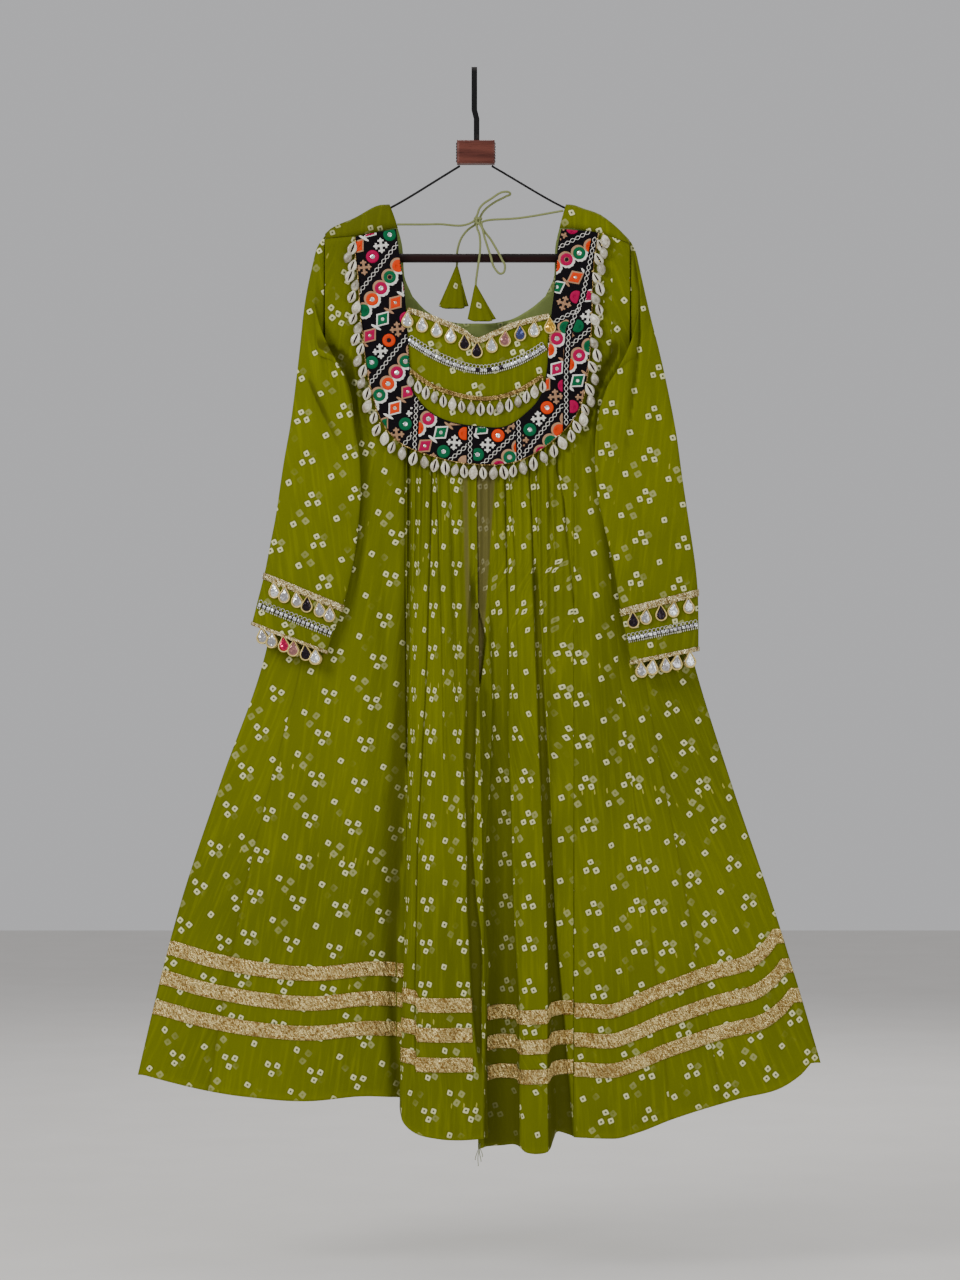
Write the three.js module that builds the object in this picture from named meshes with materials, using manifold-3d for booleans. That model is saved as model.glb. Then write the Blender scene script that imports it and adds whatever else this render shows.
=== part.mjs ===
// A bandhani kurti on its hanger: a long flared tunic with a patchwork yoke, open sleeves
// with mirror cuffs, a gathered front, gota bands and a tied dori with two latkans.
// Millimetres, +Z up, the front faces -Y. The origin is the seat of the hanger's hook.

import * as THREE from "three";
import { mergeVertices } from "three/addons/utils/BufferGeometryUtils.js";
import Module from "manifold-3d";

const wasm = await Module();
wasm.setup();

// ---- Driving dimensions ----

const cloth = 1.2; // thickness of every cloth wall
const seam = 0.5; // space between two panels that are sewn edge to edge
const layer = 0.8; // space between a panel and what is sewn on it
const touch = 0.3; // space between two pieces that lie face to face
const sideSeam = 0.2; // from the middle plane to a side seam's edge

const hook = { width: 7.4, strap: 1.8, inner: 6, back: 24, kinkTop: -56, kinkEnd: -68, shift: 3 };
const hookOverlap = { upper: 4, lower: 6 }; // how far the hook's two halves run past each other
const block = { left: -23, right: 27, top: -96, bottom: -127, depth: 24, round: 3 };
const wireRadius = 1.5;
const wireUnder = 2.6; // from the cloth's inner face on the ridge down to the wires
const wireEnds = { inBlock: 4, underBlock: 2.2, inRod: 3.5, bend: 14 };
const rod = { left: -192, right: 197, z: -251, radius: 6 };

const tape = 8; // width of the gold tapes on cuffs and neck
const tapeThick = 1.2;
const braid = { width: 7, thick: 2.8, shellLift: 0.4 }; // it carries the neck's shells
const bandThick = 1.6; // of the patchwork band
const rimTape = { width: 7.4, thick: 2.2, inset: 0.4, lift: 0.4 }; // it carries the outer shells
const chain = { height: 12.5, thick: 2 };
const drop = { width: 15, height: 22, thick: 2.6 };
const dropLift = 1.2; // from a cuff's cloth to the drops, which are fused to the tape
const shell = { width: 12.6, height: 19, thick: 6.4 };
const smallShell = { width: 11.4, height: 18, thick: 5.6 };
const dori = 1.5; // radius of the tie cord
const gota = { width: 19, pitch: 39, lowest: 80, thick: 0.8, count: 3 };

const waist = -500; // the seam under the back bodice
const rollDrop = 25; // how far below the shoulder ridge the cloth reaches its full depth

// The ridge of the shoulders, which lies on the hanger's wires.
const ridge = [
  { x: -199, z: -221 },
  { x: -190, z: -212 },
  { x: -161, z: -199 },
  { x: -112, z: -180 },
  { x: 121, z: -180 },
  { x: 142, z: -185.5 },
  { x: 163, z: -192 },
  { x: 184, z: -206 },
  { x: 207, z: -229 },
];

// The side edges of the body, and how deep the front and the back stand from the middle.
const body = [
  { z: -180, left: -197, right: 205, depth: 12 },
  { z: -300, left: -197, right: 205, depth: 14 },
  { z: -366, left: -197, right: 205, depth: 15 },
  { z: -403, left: -204, right: 205, depth: 16 },
  { z: -520, left: -227, right: 231, depth: 20 },
  { z: -781, left: -278, right: 289, depth: 23 },
  { z: -943, left: -335, right: 339, depth: 25 },
  { z: -1117, left: -392, right: 398, depth: 27 },
  { z: -1430, left: -468, right: 492, depth: 29 },
];

// The two edges of the U-shaped patchwork band, from the left shoulder round to the right one.
const bandEdges = [
  { outerX: -157, outerZ: -224, innerX: -103, innerZ: -214 },
  { outerX: -157, outerZ: -250, innerX: -99, innerZ: -246 },
  { outerX: -153, outerZ: -283, innerX: -93, innerZ: -286 },
  { outerX: -151, outerZ: -320, innerX: -90, innerZ: -319 },
  { outerX: -147, outerZ: -355, innerX: -88, innerZ: -352 },
  { outerX: -143, outerZ: -392, innerX: -85, innerZ: -390 },
  { outerX: -135, outerZ: -430, innerX: -83, innerZ: -420 },
  { outerX: -121, outerZ: -470, innerX: -75, innerZ: -437 },
  { outerX: -97, outerZ: -497, innerX: -62, innerZ: -452 },
  { outerX: -62, outerZ: -512, innerX: -43, innerZ: -464 },
  { outerX: -28, outerZ: -521, innerX: -20, innerZ: -471 },
  { outerX: 2, outerZ: -525, innerX: 3, innerZ: -474 },
  { outerX: 35, outerZ: -525, innerX: 33, innerZ: -476 },
  { outerX: 65, outerZ: -518, innerX: 52, innerZ: -469 },
  { outerX: 98, outerZ: -498, innerX: 69, innerZ: -456 },
  { outerX: 125, outerZ: -473, innerX: 83, innerZ: -441 },
  { outerX: 141, outerZ: -445, innerX: 91, innerZ: -424 },
  { outerX: 149, outerZ: -410, innerX: 96, innerZ: -396 },
  { outerX: 153, outerZ: -370, innerX: 97, innerZ: -366 },
  { outerX: 155, outerZ: -330, innerX: 101, innerZ: -330 },
  { outerX: 156, outerZ: -295, innerX: 105, innerZ: -296 },
  { outerX: 158, outerZ: -260, innerX: 108, innerZ: -262 },
  { outerX: 162, outerZ: -234, innerX: 110, innerZ: -236 },
  { outerX: 164, outerZ: -219, innerX: 115, innerZ: -214 },
];

// Where the shoulder seam lies on the front.
const shoulderSeam = [
  { x: -197, z: -226.5 },
  { x: -148.5, z: -222 },
  { x: -100, z: -213 },
  { x: 116, z: -213 },
  { x: 160.5, z: -218.5 },
  { x: 205, z: -233 },
];

// The inner edges of the two side panels: under the band, then down the seams of the gathers.
const leftSeam = [
  { z: -223, x: -151 },
  { z: -283, x: -147 },
  { z: -355, x: -141 },
  { z: -392, x: -137 },
  { z: -430, x: -129 },
  { z: -470, x: -114 },
  { z: -494, x: -94 },
  { z: -515, x: -91.8 },
  { z: -660, x: -91 },
  { z: -1360, x: -84.4 },
];
const rightSeam = [
  { z: -218, x: 158 },
  { z: -260, x: 152 },
  { z: -330, x: 149 },
  { z: -370, x: 147 },
  { z: -410, x: 143 },
  { z: -445, x: 135 },
  { z: -470, x: 131.4 },
  { z: -1410, x: 130.4 },
];

// The upper edge of the gathers, which the patchwork band covers.
const gatherTop = [
  { x: -92, z: -493 },
  { x: -58, z: -506 },
  { x: -31, z: -514 },
  { x: 2, z: -518 },
  { x: 35, z: -519 },
  { x: 63, z: -513 },
  { x: 89, z: -498 },
  { x: 112, z: -480 },
  { x: 131, z: -463 },
];

// The folds of the gathered front, a row for each crest or hollow. Under the yoke they lie side
// by side at topX. At the hem they stand at hemX, forward of the panel by the given depth.
const leftFolds = [
  { topX: -91.4, hemX: -84, forward: 1, hemZ: -1358 },
  { topX: -85, hemX: -91, forward: 7, hemZ: -1358 },
  { topX: -78, hemX: -98, forward: 15, hemZ: -1364 },
  { topX: -69, hemX: -93, forward: 23, hemZ: -1386 },
  { topX: -58, hemX: -74, forward: 26, hemZ: -1402 },
  { topX: -43, hemX: -44, forward: 27, hemZ: -1408 },
  { topX: -26, hemX: -20, forward: 24, hemZ: -1410 },
  { topX: -10, hemX: 2, forward: 21, hemZ: -1409 },
  { topX: 3, hemX: 18, forward: 18, hemZ: -1408 },
];
const rightFolds = [
  { topX: 4, hemX: 5, forward: 5, hemZ: -1424 },
  { topX: 14, hemX: 18, forward: 2, hemZ: -1421 },
  { topX: 24, hemX: 36, forward: 1, hemZ: -1420 },
  { topX: 34, hemX: 51, forward: 4, hemZ: -1418 },
  { topX: 45, hemX: 59, forward: 13, hemZ: -1420 },
  { topX: 57, hemX: 68, forward: 20, hemZ: -1426 },
  { topX: 70, hemX: 85, forward: 22, hemZ: -1428 },
  { topX: 83, hemX: 98, forward: 19, hemZ: -1424 },
  { topX: 94, hemX: 104, forward: 11, hemZ: -1411 },
  { topX: 105, hemX: 109, forward: 3, hemZ: -1402 },
  { topX: 118, hemX: 119, forward: 0, hemZ: -1404 },
  { topX: 131, hemX: 130, forward: 0, hemZ: -1408 },
];
const gathers = { each: 4, deep: 2.4, fade: 0.3 };

// The hem of the flat side panels and of the back.
const leftHem = [
  { x: -444, z: -1330 },
  { x: -422, z: -1335 },
  { x: -376, z: -1345 },
  { x: -315, z: -1355 },
  { x: -224, z: -1362 },
  { x: -140, z: -1355 },
  { x: -84, z: -1358 },
];
const rightHem = [
  { x: 130, z: -1409 },
  { x: 181, z: -1411 },
  { x: 212, z: -1403 },
  { x: 259, z: -1385 },
  { x: 305, z: -1371 },
  { x: 351, z: -1359 },
  { x: 399, z: -1349 },
  { x: 438, z: -1330 },
  { x: 458, z: -1314 },
];
const backHem = [
  { x: -444, z: -1329 },
  { x: -315, z: -1349 },
  { x: -224, z: -1354 },
  { x: -99, z: -1352 },
  { x: 0, z: -1388 },
  { x: 130, z: -1396 },
  { x: 212, z: -1392 },
  { x: 305, z: -1364 },
  { x: 458, z: -1313 },
];
const backFolds = { each: 3, deep: 8 };

// The neck: the front's V, its lower edge under the band, and the back's scoop.
const neckline = [
  { x: -97, z: -316 },
  { x: -69, z: -327 },
  { x: -39, z: -338 },
  { x: -16, z: -349 },
  { x: 3, z: -361 },
  { x: 27, z: -352 },
  { x: 52, z: -341 },
  { x: 77, z: -334 },
  { x: 108, z: -326 },
];
const neckLower = [
  { x: -97, z: -402 },
  { x: -89, z: -426 },
  { x: -80, z: -443 },
  { x: -65, z: -458 },
  { x: -43, z: -470 },
  { x: 3, z: -480 },
  { x: 33, z: -482 },
  { x: 54, z: -475 },
  { x: 73, z: -461 },
  { x: 88, z: -445 },
  { x: 98, z: -425 },
  { x: 108, z: -394 },
];
const mirrorRow = [
  { x: -79, z: -365 },
  { x: -58, z: -378 },
  { x: -33, z: -390 },
  { x: -8, z: -398 },
  { x: 17, z: -400 },
  { x: 50, z: -392 },
  { x: 77, z: -379 },
  { x: 88, z: -372 },
];
const shellRow = [
  { x: -75, z: -406 },
  { x: -59, z: -415 },
  { x: -29, z: -427 },
  { x: -1, z: -433 },
  { x: 27, z: -433 },
  { x: 57, z: -424 },
  { x: 80, z: -413 },
];
const scoop = [
  { z: -180, left: -112, right: 121 },
  { z: -205, left: -103, right: 114 },
  { z: -238, left: -95, right: 107 },
  { z: -271, left: -93, right: 106 },
  { z: -300, left: -82, right: 94 },
];
const scoopFloor = [
  { x: -82, z: -300 },
  { x: -64, z: -319 },
  { x: -39, z: -332 },
  { x: -14, z: -336 },
  { x: 17, z: -336 },
  { x: 44, z: -332 },
  { x: 75, z: -316 },
  { x: 94, z: -300 },
];

// Sections down each sleeve: its left and right edges, and half its depth between them.
const leftSleeve = [
  { leftX: -197.8, leftZ: -222, leftY: 0, rightX: -197.8, rightZ: -362, rightY: 0, half: 13 },
  { leftX: -208, leftZ: -238, leftY: -1, rightX: -207, rightZ: -369, rightY: -10, half: 13 },
  { leftX: -214, leftZ: -262, leftY: -3, rightX: -206, rightZ: -380, rightY: -23, half: 10 },
  { leftX: -220, leftZ: -290, leftY: -6, rightX: -189, rightZ: -388, rightY: -30, half: 9 },
  { leftX: -225, leftZ: -322, leftY: -9, rightX: -173, rightZ: -404, rightY: -31, half: 9 },
  { leftX: -229, leftZ: -362, leftY: -12, rightX: -162, rightZ: -432, rightY: -30, half: 10 },
  { leftX: -235, leftZ: -415, leftY: -14, rightX: -157, rightZ: -478, rightY: -31, half: 9 },
  { leftX: -242, leftZ: -470, leftY: -16, rightX: -151, rightZ: -512, rightY: -32, half: 9 },
  { leftX: -251, leftZ: -522, leftY: -18, rightX: -149, rightZ: -560, rightY: -32, half: 9 },
  { leftX: -261, leftZ: -590, leftY: -20, rightX: -153, rightZ: -615, rightY: -32, half: 9 },
  { leftX: -269, leftZ: -632, leftY: -21, rightX: -160, rightZ: -662, rightY: -32, half: 9 },
  { leftX: -276, leftZ: -668, leftY: -22, rightX: -172, rightZ: -711, rightY: -32, half: 9 },
  { leftX: -285, leftZ: -704, leftY: -22, rightX: -184, rightZ: -744, rightY: -32, half: 9 },
  { leftX: -293, leftZ: -736, leftY: -22, rightX: -194, rightZ: -774, rightY: -32, half: 9 },
];
const rightSleeve = [
  { leftX: 205.8, leftZ: -366, leftY: 0, rightX: 205.8, rightZ: -228, rightY: 0, half: 13 },
  { leftX: 214, leftZ: -372, leftY: -10, rightX: 213, rightZ: -242, rightY: -1, half: 13 },
  { leftX: 213, leftZ: -383, leftY: -23, rightX: 219, rightZ: -268, rightY: -3, half: 10 },
  { leftX: 197, leftZ: -394, leftY: -30, rightX: 226, rightZ: -300, rightY: -6, half: 9 },
  { leftX: 182, leftZ: -410, leftY: -31, rightX: 234, rightZ: -335, rightY: -9, half: 9 },
  { leftX: 171, leftZ: -432, leftY: -30, rightX: 244, rightZ: -375, rightY: -12, half: 10 },
  { leftX: 161, leftZ: -470, leftY: -31, rightX: 255, rightZ: -425, rightY: -14, half: 9 },
  { leftX: 158, leftZ: -515, leftY: -32, rightX: 266, rightZ: -483, rightY: -16, half: 9 },
  { leftX: 161, leftZ: -560, leftY: -32, rightX: 273, rightZ: -535, rightY: -18, half: 9 },
  { leftX: 170, leftZ: -605, leftY: -32, rightX: 281, rightZ: -590, rightY: -20, half: 9 },
  { leftX: 182, leftZ: -655, leftY: -32, rightX: 290, rightZ: -650, rightY: -21, half: 9 },
  { leftX: 192, leftZ: -716, leftY: -32, rightX: 294, rightZ: -690, rightY: -22, half: 9 },
  { leftX: 199, leftZ: -750, leftY: -32, rightX: 295, rightZ: -730, rightY: -22, half: 9 },
  { leftX: 206, leftZ: -788, leftY: -32, rightX: 295, rightZ: -770, rightY: -22, half: 9 },
];
const sleeveRing = 14; // points round a sleeve
// The stations down a sleeve, in table rows. The cuff's tapes and chain lie between named ones.
const sleeveStations = [0, 1, 2, 3, 4, 5.5, 7, 8.5, 9.9, 10.88, 11.12, 11.84, 12.18, 12.77, 13];
const cuff = { upperTape: 9, chain: 11, lowerTape: 13 };
// Each sleeve's cloth is two solids, above and below a row of stations near the elbow, because
// one solid's collision pieces would fill its bend. The gap is a share of a station.
const elbow = { row: 7, gap: 0.005 };

// The routes of the dori: two runs from the neck to the knot, a bow of two loops, two ends.
const knot = { x: 5, y: -1, z: -202, wide: 14, deep: 11, high: 11 };
const doriRoutes = {
  tie_left_run: [[-101.7, -14, -208], [-50, -8, -207], [-2.5, -1.5, -203.5]],
  tie_right_run: [[117.3, -10.5, -189.5], [60, -5, -198.5], [12.5, -1.5, -202.5]],
  bow_loop_upper: [
    [3, -3, -195.8], [8, -3.5, -184], [22, -3, -173], [41, -2.5, -163.5], [47.5, 0, -166],
    [42, 2.5, -169], [25, 3, -178], [13, 2.5, -188], [8.5, 1.5, -195.2],
  ],
  bow_loop_lower: [
    [9.6, -5, -205.6], [24, -8.5, -231], [36, -10, -253], [40.5, -10.5, -264], [36, -11, -272.5],
    [28, -10.5, -267], [21, -10.5, -248], [14.5, -10.5, -228], [7.3, -7, -207.4],
  ],
  tie_left_end: [[1.1, 2.3, -206.9], [-14, 6.5, -219], [-22, 9.3, -238], [-23, 9.3, -258.5]],
  tie_right_end: [[3.3, -3.8, -207.8], [7, -8, -222], [7.5, -9.3, -242], [5, -9.3, -262], [2, -7, -285.5]],
};
const latkans = [
  { name: "latkan_left", x: -23, y: 8.5, z: -259, height: 58, lean: -5, wide: 35, deep: 7 },
  { name: "latkan_right", x: 1.5, y: -7, z: -286, height: 49, lean: 8, wide: 33, deep: 9 },
];

const colours = {
  green: 0x6c6b08,
  insideGreen: 0x8c9159,
  black: 0x1c1a18,
  patch: 0x3a1420,
  gold: 0xdbc49a,
  mirror: 0xb9bcb4,
  shell: 0xd9d2c0,
  walnut: 0x65423c,
  rod: 0x4a2a24,
  metal: 0x1b1b1b,
  dori: 0xa9b98a,
};

// ---- Small helpers ----

const lerp = THREE.MathUtils.lerp;
const smooth = THREE.MathUtils.smoothstep;
const at = (x, y, z) => new THREE.Vector3(x, y, z);

// A table's column at a place along another of its columns, in straight stretches.
function read(table, along, place, column) {
  const rising = table[table.length - 1][along] > table[0][along];
  const order = rising ? table : [...table].reverse();
  let k = 0;
  while (k < order.length - 2 && order[k + 1][along] < place) k += 1;
  const share = (place - order[k][along]) / (order[k + 1][along] - order[k][along]);
  return lerp(order[k][column], order[k + 1][column], Math.min(1, Math.max(0, share)));
}

// A table's column at a share of the way through its rows, as a smooth curve.
function through(table, share, column) {
  const place = share * (table.length - 1);
  const k = Math.min(table.length - 2, Math.floor(place));
  const value = (row) => table[Math.min(table.length - 1, Math.max(0, row))][column];
  const t = place - k;
  const slopeA = (value(k + 1) - value(k - 1)) / 2;
  const slopeB = (value(k + 2) - value(k)) / 2;
  const t2 = t * t;
  const t3 = t2 * t;
  return value(k) * (2 * t3 - 3 * t2 + 1) + slopeA * (t3 - 2 * t2 + t)
    + value(k + 1) * (3 * t2 - 2 * t3) + slopeB * (t3 - t2);
}

// ---- Surfaces and walls ----
// A surface is a grid of points and of unit normals that point into the garment. Seen from
// outside, its columns run to the viewer's right and its rows run down.

function surface(rows, ring = false) {
  const normals = rows.map((row, j) => row.map((_, i) => {
    const last = row.length - 1;
    const before = ring ? (i + last) % (last + 1) : Math.max(0, i - 1);
    const after = ring ? (i + 1) % (last + 1) : Math.min(last, i + 1);
    const across = row[after].clone().sub(row[before]);
    const down = rows[Math.min(rows.length - 1, j + 1)][i].clone().sub(rows[Math.max(0, j - 1)][i]);
    return across.cross(down).normalize();
  }));
  return { points: rows, normals, ring };
}

function rowsOf(from, firstRow, lastRow, firstColumn = 0) {
  const cut = (grid) => grid.slice(firstRow, lastRow + 1).map((row) => row.slice(firstColumn));
  return { points: cut(from.points), normals: cut(from.normals), ring: from.ring };
}

function raised(from, distance) {
  const points = from.points.map((row, j) =>
    row.map((p, i) => p.clone().addScaledVector(from.normals[j][i], -distance)));
  return { points, normals: from.normals, ring: from.ring };
}

// A closed wall: the surface is its outer face, and kept(row, column) leaves cells out.
function wall(outside, thickness, kept = () => true) {
  const { points, normals, ring } = outside;
  const rows = points.length;
  const columns = points[0].length;
  const cells = ring ? columns : columns - 1;
  const inside = raised(outside, -thickness).points;
  const positions = [...points.flat(), ...inside.flat()].flatMap((p) => p.toArray());
  const outer = (j, i) => j * columns + (i % columns);
  const inner = (j, i) => outer(j, i) + rows * columns;
  const has = (j, i) => {
    const column = ring ? (i + cells) % cells : i;
    return j >= 0 && j < rows - 1 && column >= 0 && column < cells && kept(j, column);
  };
  const index = [];
  const quad = (a, b, c, d) => index.push(a, b, c, a, c, d);
  for (let j = 0; j < rows - 1; j += 1) {
    for (let i = 0; i < cells; i += 1) {
      if (!has(j, i)) continue;
      quad(outer(j, i), outer(j + 1, i), outer(j + 1, i + 1), outer(j, i + 1));
      quad(inner(j, i), inner(j, i + 1), inner(j + 1, i + 1), inner(j + 1, i));
      if (!has(j - 1, i)) quad(outer(j, i), outer(j, i + 1), inner(j, i + 1), inner(j, i));
      if (!has(j + 1, i)) {
        quad(outer(j + 1, i + 1), outer(j + 1, i), inner(j + 1, i), inner(j + 1, i + 1));
      }
      if (!has(j, i - 1)) quad(outer(j + 1, i), outer(j, i), inner(j, i), inner(j + 1, i));
      if (!has(j, i + 1)) {
        quad(outer(j, i + 1), outer(j + 1, i + 1), inner(j + 1, i + 1), inner(j, i + 1));
      }
    }
  }
  return geometryOf(positions, index);
}

function geometryOf(positions, index) {
  const used = [...new Set(index)];
  const place = new Map(used.map((old, now) => [old, now]));
  const kept = used.flatMap((old) => positions.slice(old * 3, old * 3 + 3));
  const geometry = new THREE.BufferGeometry();
  geometry.setAttribute("position", new THREE.Float32BufferAttribute(kept, 3));
  geometry.setIndex(index.map((old) => place.get(old)));
  return geometry;
}

// ---- Joining closed solids ----

function solidOf(geometry) {
  const bare = geometry.clone();
  bare.deleteAttribute("normal");
  bare.deleteAttribute("uv");
  const merged = mergeVertices(bare, 1e-3);
  const triVerts = new Uint32Array(merged.index.array);
  const vertProperties = new Float32Array(merged.attributes.position.array);
  return new wasm.Manifold(new wasm.Mesh({ numProp: 3, vertProperties, triVerts }));
}

function joined(geometries) {
  let whole = solidOf(geometries[0]);
  for (const geometry of geometries.slice(1)) whole = whole.add(solidOf(geometry));
  const mesh = whole.getMesh();
  const geometry = new THREE.BufferGeometry();
  const positions = [];
  for (let k = 0; k < mesh.vertProperties.length; k += mesh.numProp) {
    positions.push(...mesh.vertProperties.slice(k, k + 3));
  }
  geometry.setAttribute("position", new THREE.Float32BufferAttribute(positions, 3));
  geometry.setIndex([...mesh.triVerts]);
  return geometry;
}

// ---- The body's form ----

// 0 on the shoulder ridge, 1 where the cloth has reached its full depth.
function roll(x, z) {
  const below = Math.max(0, read(ridge, "x", x, "z") - z);
  const left = 1 - Math.min(1, below / rollDrop);
  return Math.sqrt(1 - left * left);
}

// How far the outer face stands from the middle plane. Below the arms it closes at the sides.
function depthAt(x, z) {
  const left = read(body, "z", z, "left");
  const right = read(body, "z", z, "right");
  const side = Math.min(1, Math.abs((2 * (x - left)) / (right - left) - 1));
  const closing = smooth(-z, 300, 470);
  const full = read(body, "z", z, "depth") * roll(x, z);
  return sideSeam + cloth + full * (1 - closing * side ** 4);
}

const front = (x, z) => at(x, -depthAt(x, z), z);
const back = (x, z) => at(x, depthAt(x, z), z);

// The heights of a skirt panel's rows above the hem that the gota bands need.
const bandTop = gota.lowest + (gota.count - 1) * gota.pitch + gota.width;
const hemRows = [];
for (let k = gota.count - 1; k >= 0; k -= 1) {
  hemRows.push(gota.lowest + k * gota.pitch + gota.width, gota.lowest + k * gota.pitch);
}
hemRows.push(38, 0);

// The heights of all rows of a panel at one column, from its top to its hem.
function heights(top, hem, shares) {
  const upper = shares.map((share) => lerp(top, hem + bandTop, share));
  return [...upper, ...hemRows.slice(1).map((height) => hem + height)];
}

// ---- Panels ----

const sideShares = [0, 0.05, 0.1, 0.15, 0.2, 0.25, 0.3, 0.44, 0.62, 0.81, 1];
const sideColumns = 8;

function sidePanel(hem, innerEdge, onLeft) {
  const rows = sideShares.length + hemRows.length - 1;
  const grid = Array.from({ length: rows }, () => []);
  for (let i = 0; i <= sideColumns; i += 1) {
    const share = onLeft ? i / sideColumns : 1 - i / sideColumns;
    const edge = (z) => read(body, "z", z, onLeft ? "left" : "right");
    const x = (z) => lerp(edge(z), read(innerEdge, "z", z, "x"), share);
    const hemX = x(-1360);
    const top = read(shoulderSeam, "x", x(-226), "z") - seam / 2;
    const levels = heights(top, read(hem, "x", hemX, "z"), sideShares);
    levels.forEach((z, j) => grid[j].push(front(x(z), z)));
  }
  return surface(grid);
}

const centreShares = [0, 0.08, 0.2, 0.4, 0.68, 1];
const centreColumns = 16;

function gatheredPanel(folds) {
  const rows = centreShares.length + hemRows.length - 1;
  const grid = Array.from({ length: rows }, () => []);
  for (let i = 0; i <= centreColumns; i += 1) {
    const share = i / centreColumns;
    const topX = through(folds, share, "topX");
    const hemX = through(folds, share, "hemX");
    const top = read(gatherTop, "x", topX, "z");
    const hem = through(folds, share, "hemZ");
    const ripple = (1 - Math.cos(2 * Math.PI * gathers.each * share)) / 2;
    heights(top, hem, centreShares).forEach((z, j) => {
      const down = (top - z) / (top - hem);
      const x = lerp(topX, hemX, down ** 1.3);
      const forward = through(folds, share, "forward") * smooth(down, 0.02, 0.45);
      const gathered = gathers.deep * ripple * (1 - smooth(down, 0, gathers.fade));
      const p = front(x, z);
      p.y += gathered - forward;
      grid[j].push(p);
    });
  }
  return surface(grid);
}

const backShares = [0, 0.18, 0.38, 0.58, 0.8, 1];
const backColumns = 11;

// The back's skirt, from the wearer's side seam to the middle seam or the other way round.
function backPanel(fromShare, toShare) {
  const rows = backShares.length + hemRows.length - 1;
  const grid = Array.from({ length: rows }, () => []);
  for (let i = 0; i <= backColumns; i += 1) {
    const share = lerp(fromShare, toShare, i / backColumns);
    const aside = share === 0.5 ? (seam / 2) * Math.sign(i - 0.5) : 0;
    const x = (z) => lerp(read(body, "z", z, "left"), read(body, "z", z, "right"), share) + aside;
    const wave = (1 - Math.cos(2 * Math.PI * backFolds.each * 2 * share)) / 2;
    const hem = read(backHem, "x", x(-1350), "z");
    heights(waist - seam, hem, backShares).forEach((z, j) => {
      const p = back(x(z), z);
      p.y += backFolds.deep * wave * smooth((waist - z) / (waist - hem), 0.05, 0.9);
      grid[j].push(p);
    });
  }
  return surface(grid);
}

// The back bodice with the two shoulders that come over to the front seam. Its columns run
// from the right armhole over the right shoulder, the scoop and the left shoulder.
const strapColumns = 4;
const scoopColumns = 7;
const scoopRow = 7;

function backBodice() {
  const grid = [];
  const overShares = [0.09, 0.26, 0.52, 0.76, 1];
  const lowerShares = [0.25, 0.5, 0.75, 1];
  const columns = [];
  for (let i = 0; i <= strapColumns; i += 1) columns.push({ side: "right", share: i / strapColumns });
  for (let i = 1; i < scoopColumns; i += 1) columns.push({ side: "scoop", share: i / scoopColumns });
  for (let i = strapColumns; i >= 0; i -= 1) columns.push({ side: "left", share: i / strapColumns });
  const floorZ = scoopFloor[0].z;
  const scoopX = (share) => lerp(read(scoop, "z", floorZ, "right"), read(scoop, "z", floorZ, "left"), share);
  const xAt = (column, z) => {
    if (column.side === "scoop") return scoopX(column.share);
    const edge = read(body, "z", z, column.side);
    return lerp(edge, read(scoop, "z", Math.max(z, floorZ), column.side), column.share);
  };
  const ridgeOf = (column) => read(ridge, "x", xAt(column, -200), "z");
  const seamOf = (column) => read(shoulderSeam, "x", xAt(column, -213), "z") + 2 * seam;
  grid.push(columns.map((c) => front(xAt(c, seamOf(c)), seamOf(c))));
  grid.push(columns.map((c) => {
    const z = lerp(ridgeOf(c), seamOf(c), 0.3);
    return front(xAt(c, z), z);
  }));
  grid.push(columns.map((c) => at(xAt(c, ridgeOf(c)), 0, ridgeOf(c))));
  for (const share of overShares) {
    grid.push(columns.map((c) => {
      const z = c.side === "scoop"
        ? read(scoopFloor, "x", scoopX(c.share), "z")
        : lerp(ridgeOf(c), floorZ, share);
      return back(xAt(c, z), z);
    }));
  }
  for (const share of lowerShares) {
    grid.push(columns.map((c) => {
      const start = c.side === "scoop" ? read(scoopFloor, "x", scoopX(c.share), "z") : floorZ;
      const z = lerp(start, waist, share);
      return back(xAt(c, z), z);
    }));
  }
  const open = (j, i) => j < scoopRow && i >= strapColumns && i < strapColumns + scoopColumns;
  return wall(surface(grid), cloth, (j, i) => !open(j, i));
}

function neckPanel() {
  const columns = 12;
  const rows = 5;
  const grid = [];
  for (let j = 0; j <= rows; j += 1) {
    const row = [];
    for (let i = 0; i <= columns; i += 1) {
      const x = lerp(neckline[0].x, neckline[neckline.length - 1].x, i / columns);
      const z = lerp(read(neckline, "x", x, "z"), read(neckLower, "x", x, "z"), j / rows);
      row.push(front(x, z));
    }
    grid.push(row);
  }
  return surface(grid);
}

const bandSteps = 30;

// A point across the patchwork band: across is 0 at its outer edge and 1 at its inner edge.
function bandPoint(share, across) {
  const x = lerp(through(bandEdges, share, "outerX"), through(bandEdges, share, "innerX"), across);
  const z = lerp(through(bandEdges, share, "outerZ"), through(bandEdges, share, "innerZ"), across);
  return front(x, z);
}

// The band's rows run from its inner edge to its outer one, so that they read as down.
function patchworkBand() {
  const grid = [1, 0.5, 0].map((across) => {
    const row = [];
    for (let i = 0; i <= bandSteps; i += 1) row.push(bandPoint(i / bandSteps, across));
    return row;
  });
  return wall(raised(surface(grid), layer + bandThick), bandThick);
}

// ---- Sleeves ----

function sleeveSection(table, station) {
  const share = station / (table.length - 1);
  const value = (column) => through(table, share, column);
  const leftEdge = at(value("leftX"), value("leftY"), value("leftZ"));
  const rightEdge = at(value("rightX"), value("rightY"), value("rightZ"));
  return { leftEdge, rightEdge, half: value("half") };
}

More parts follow.
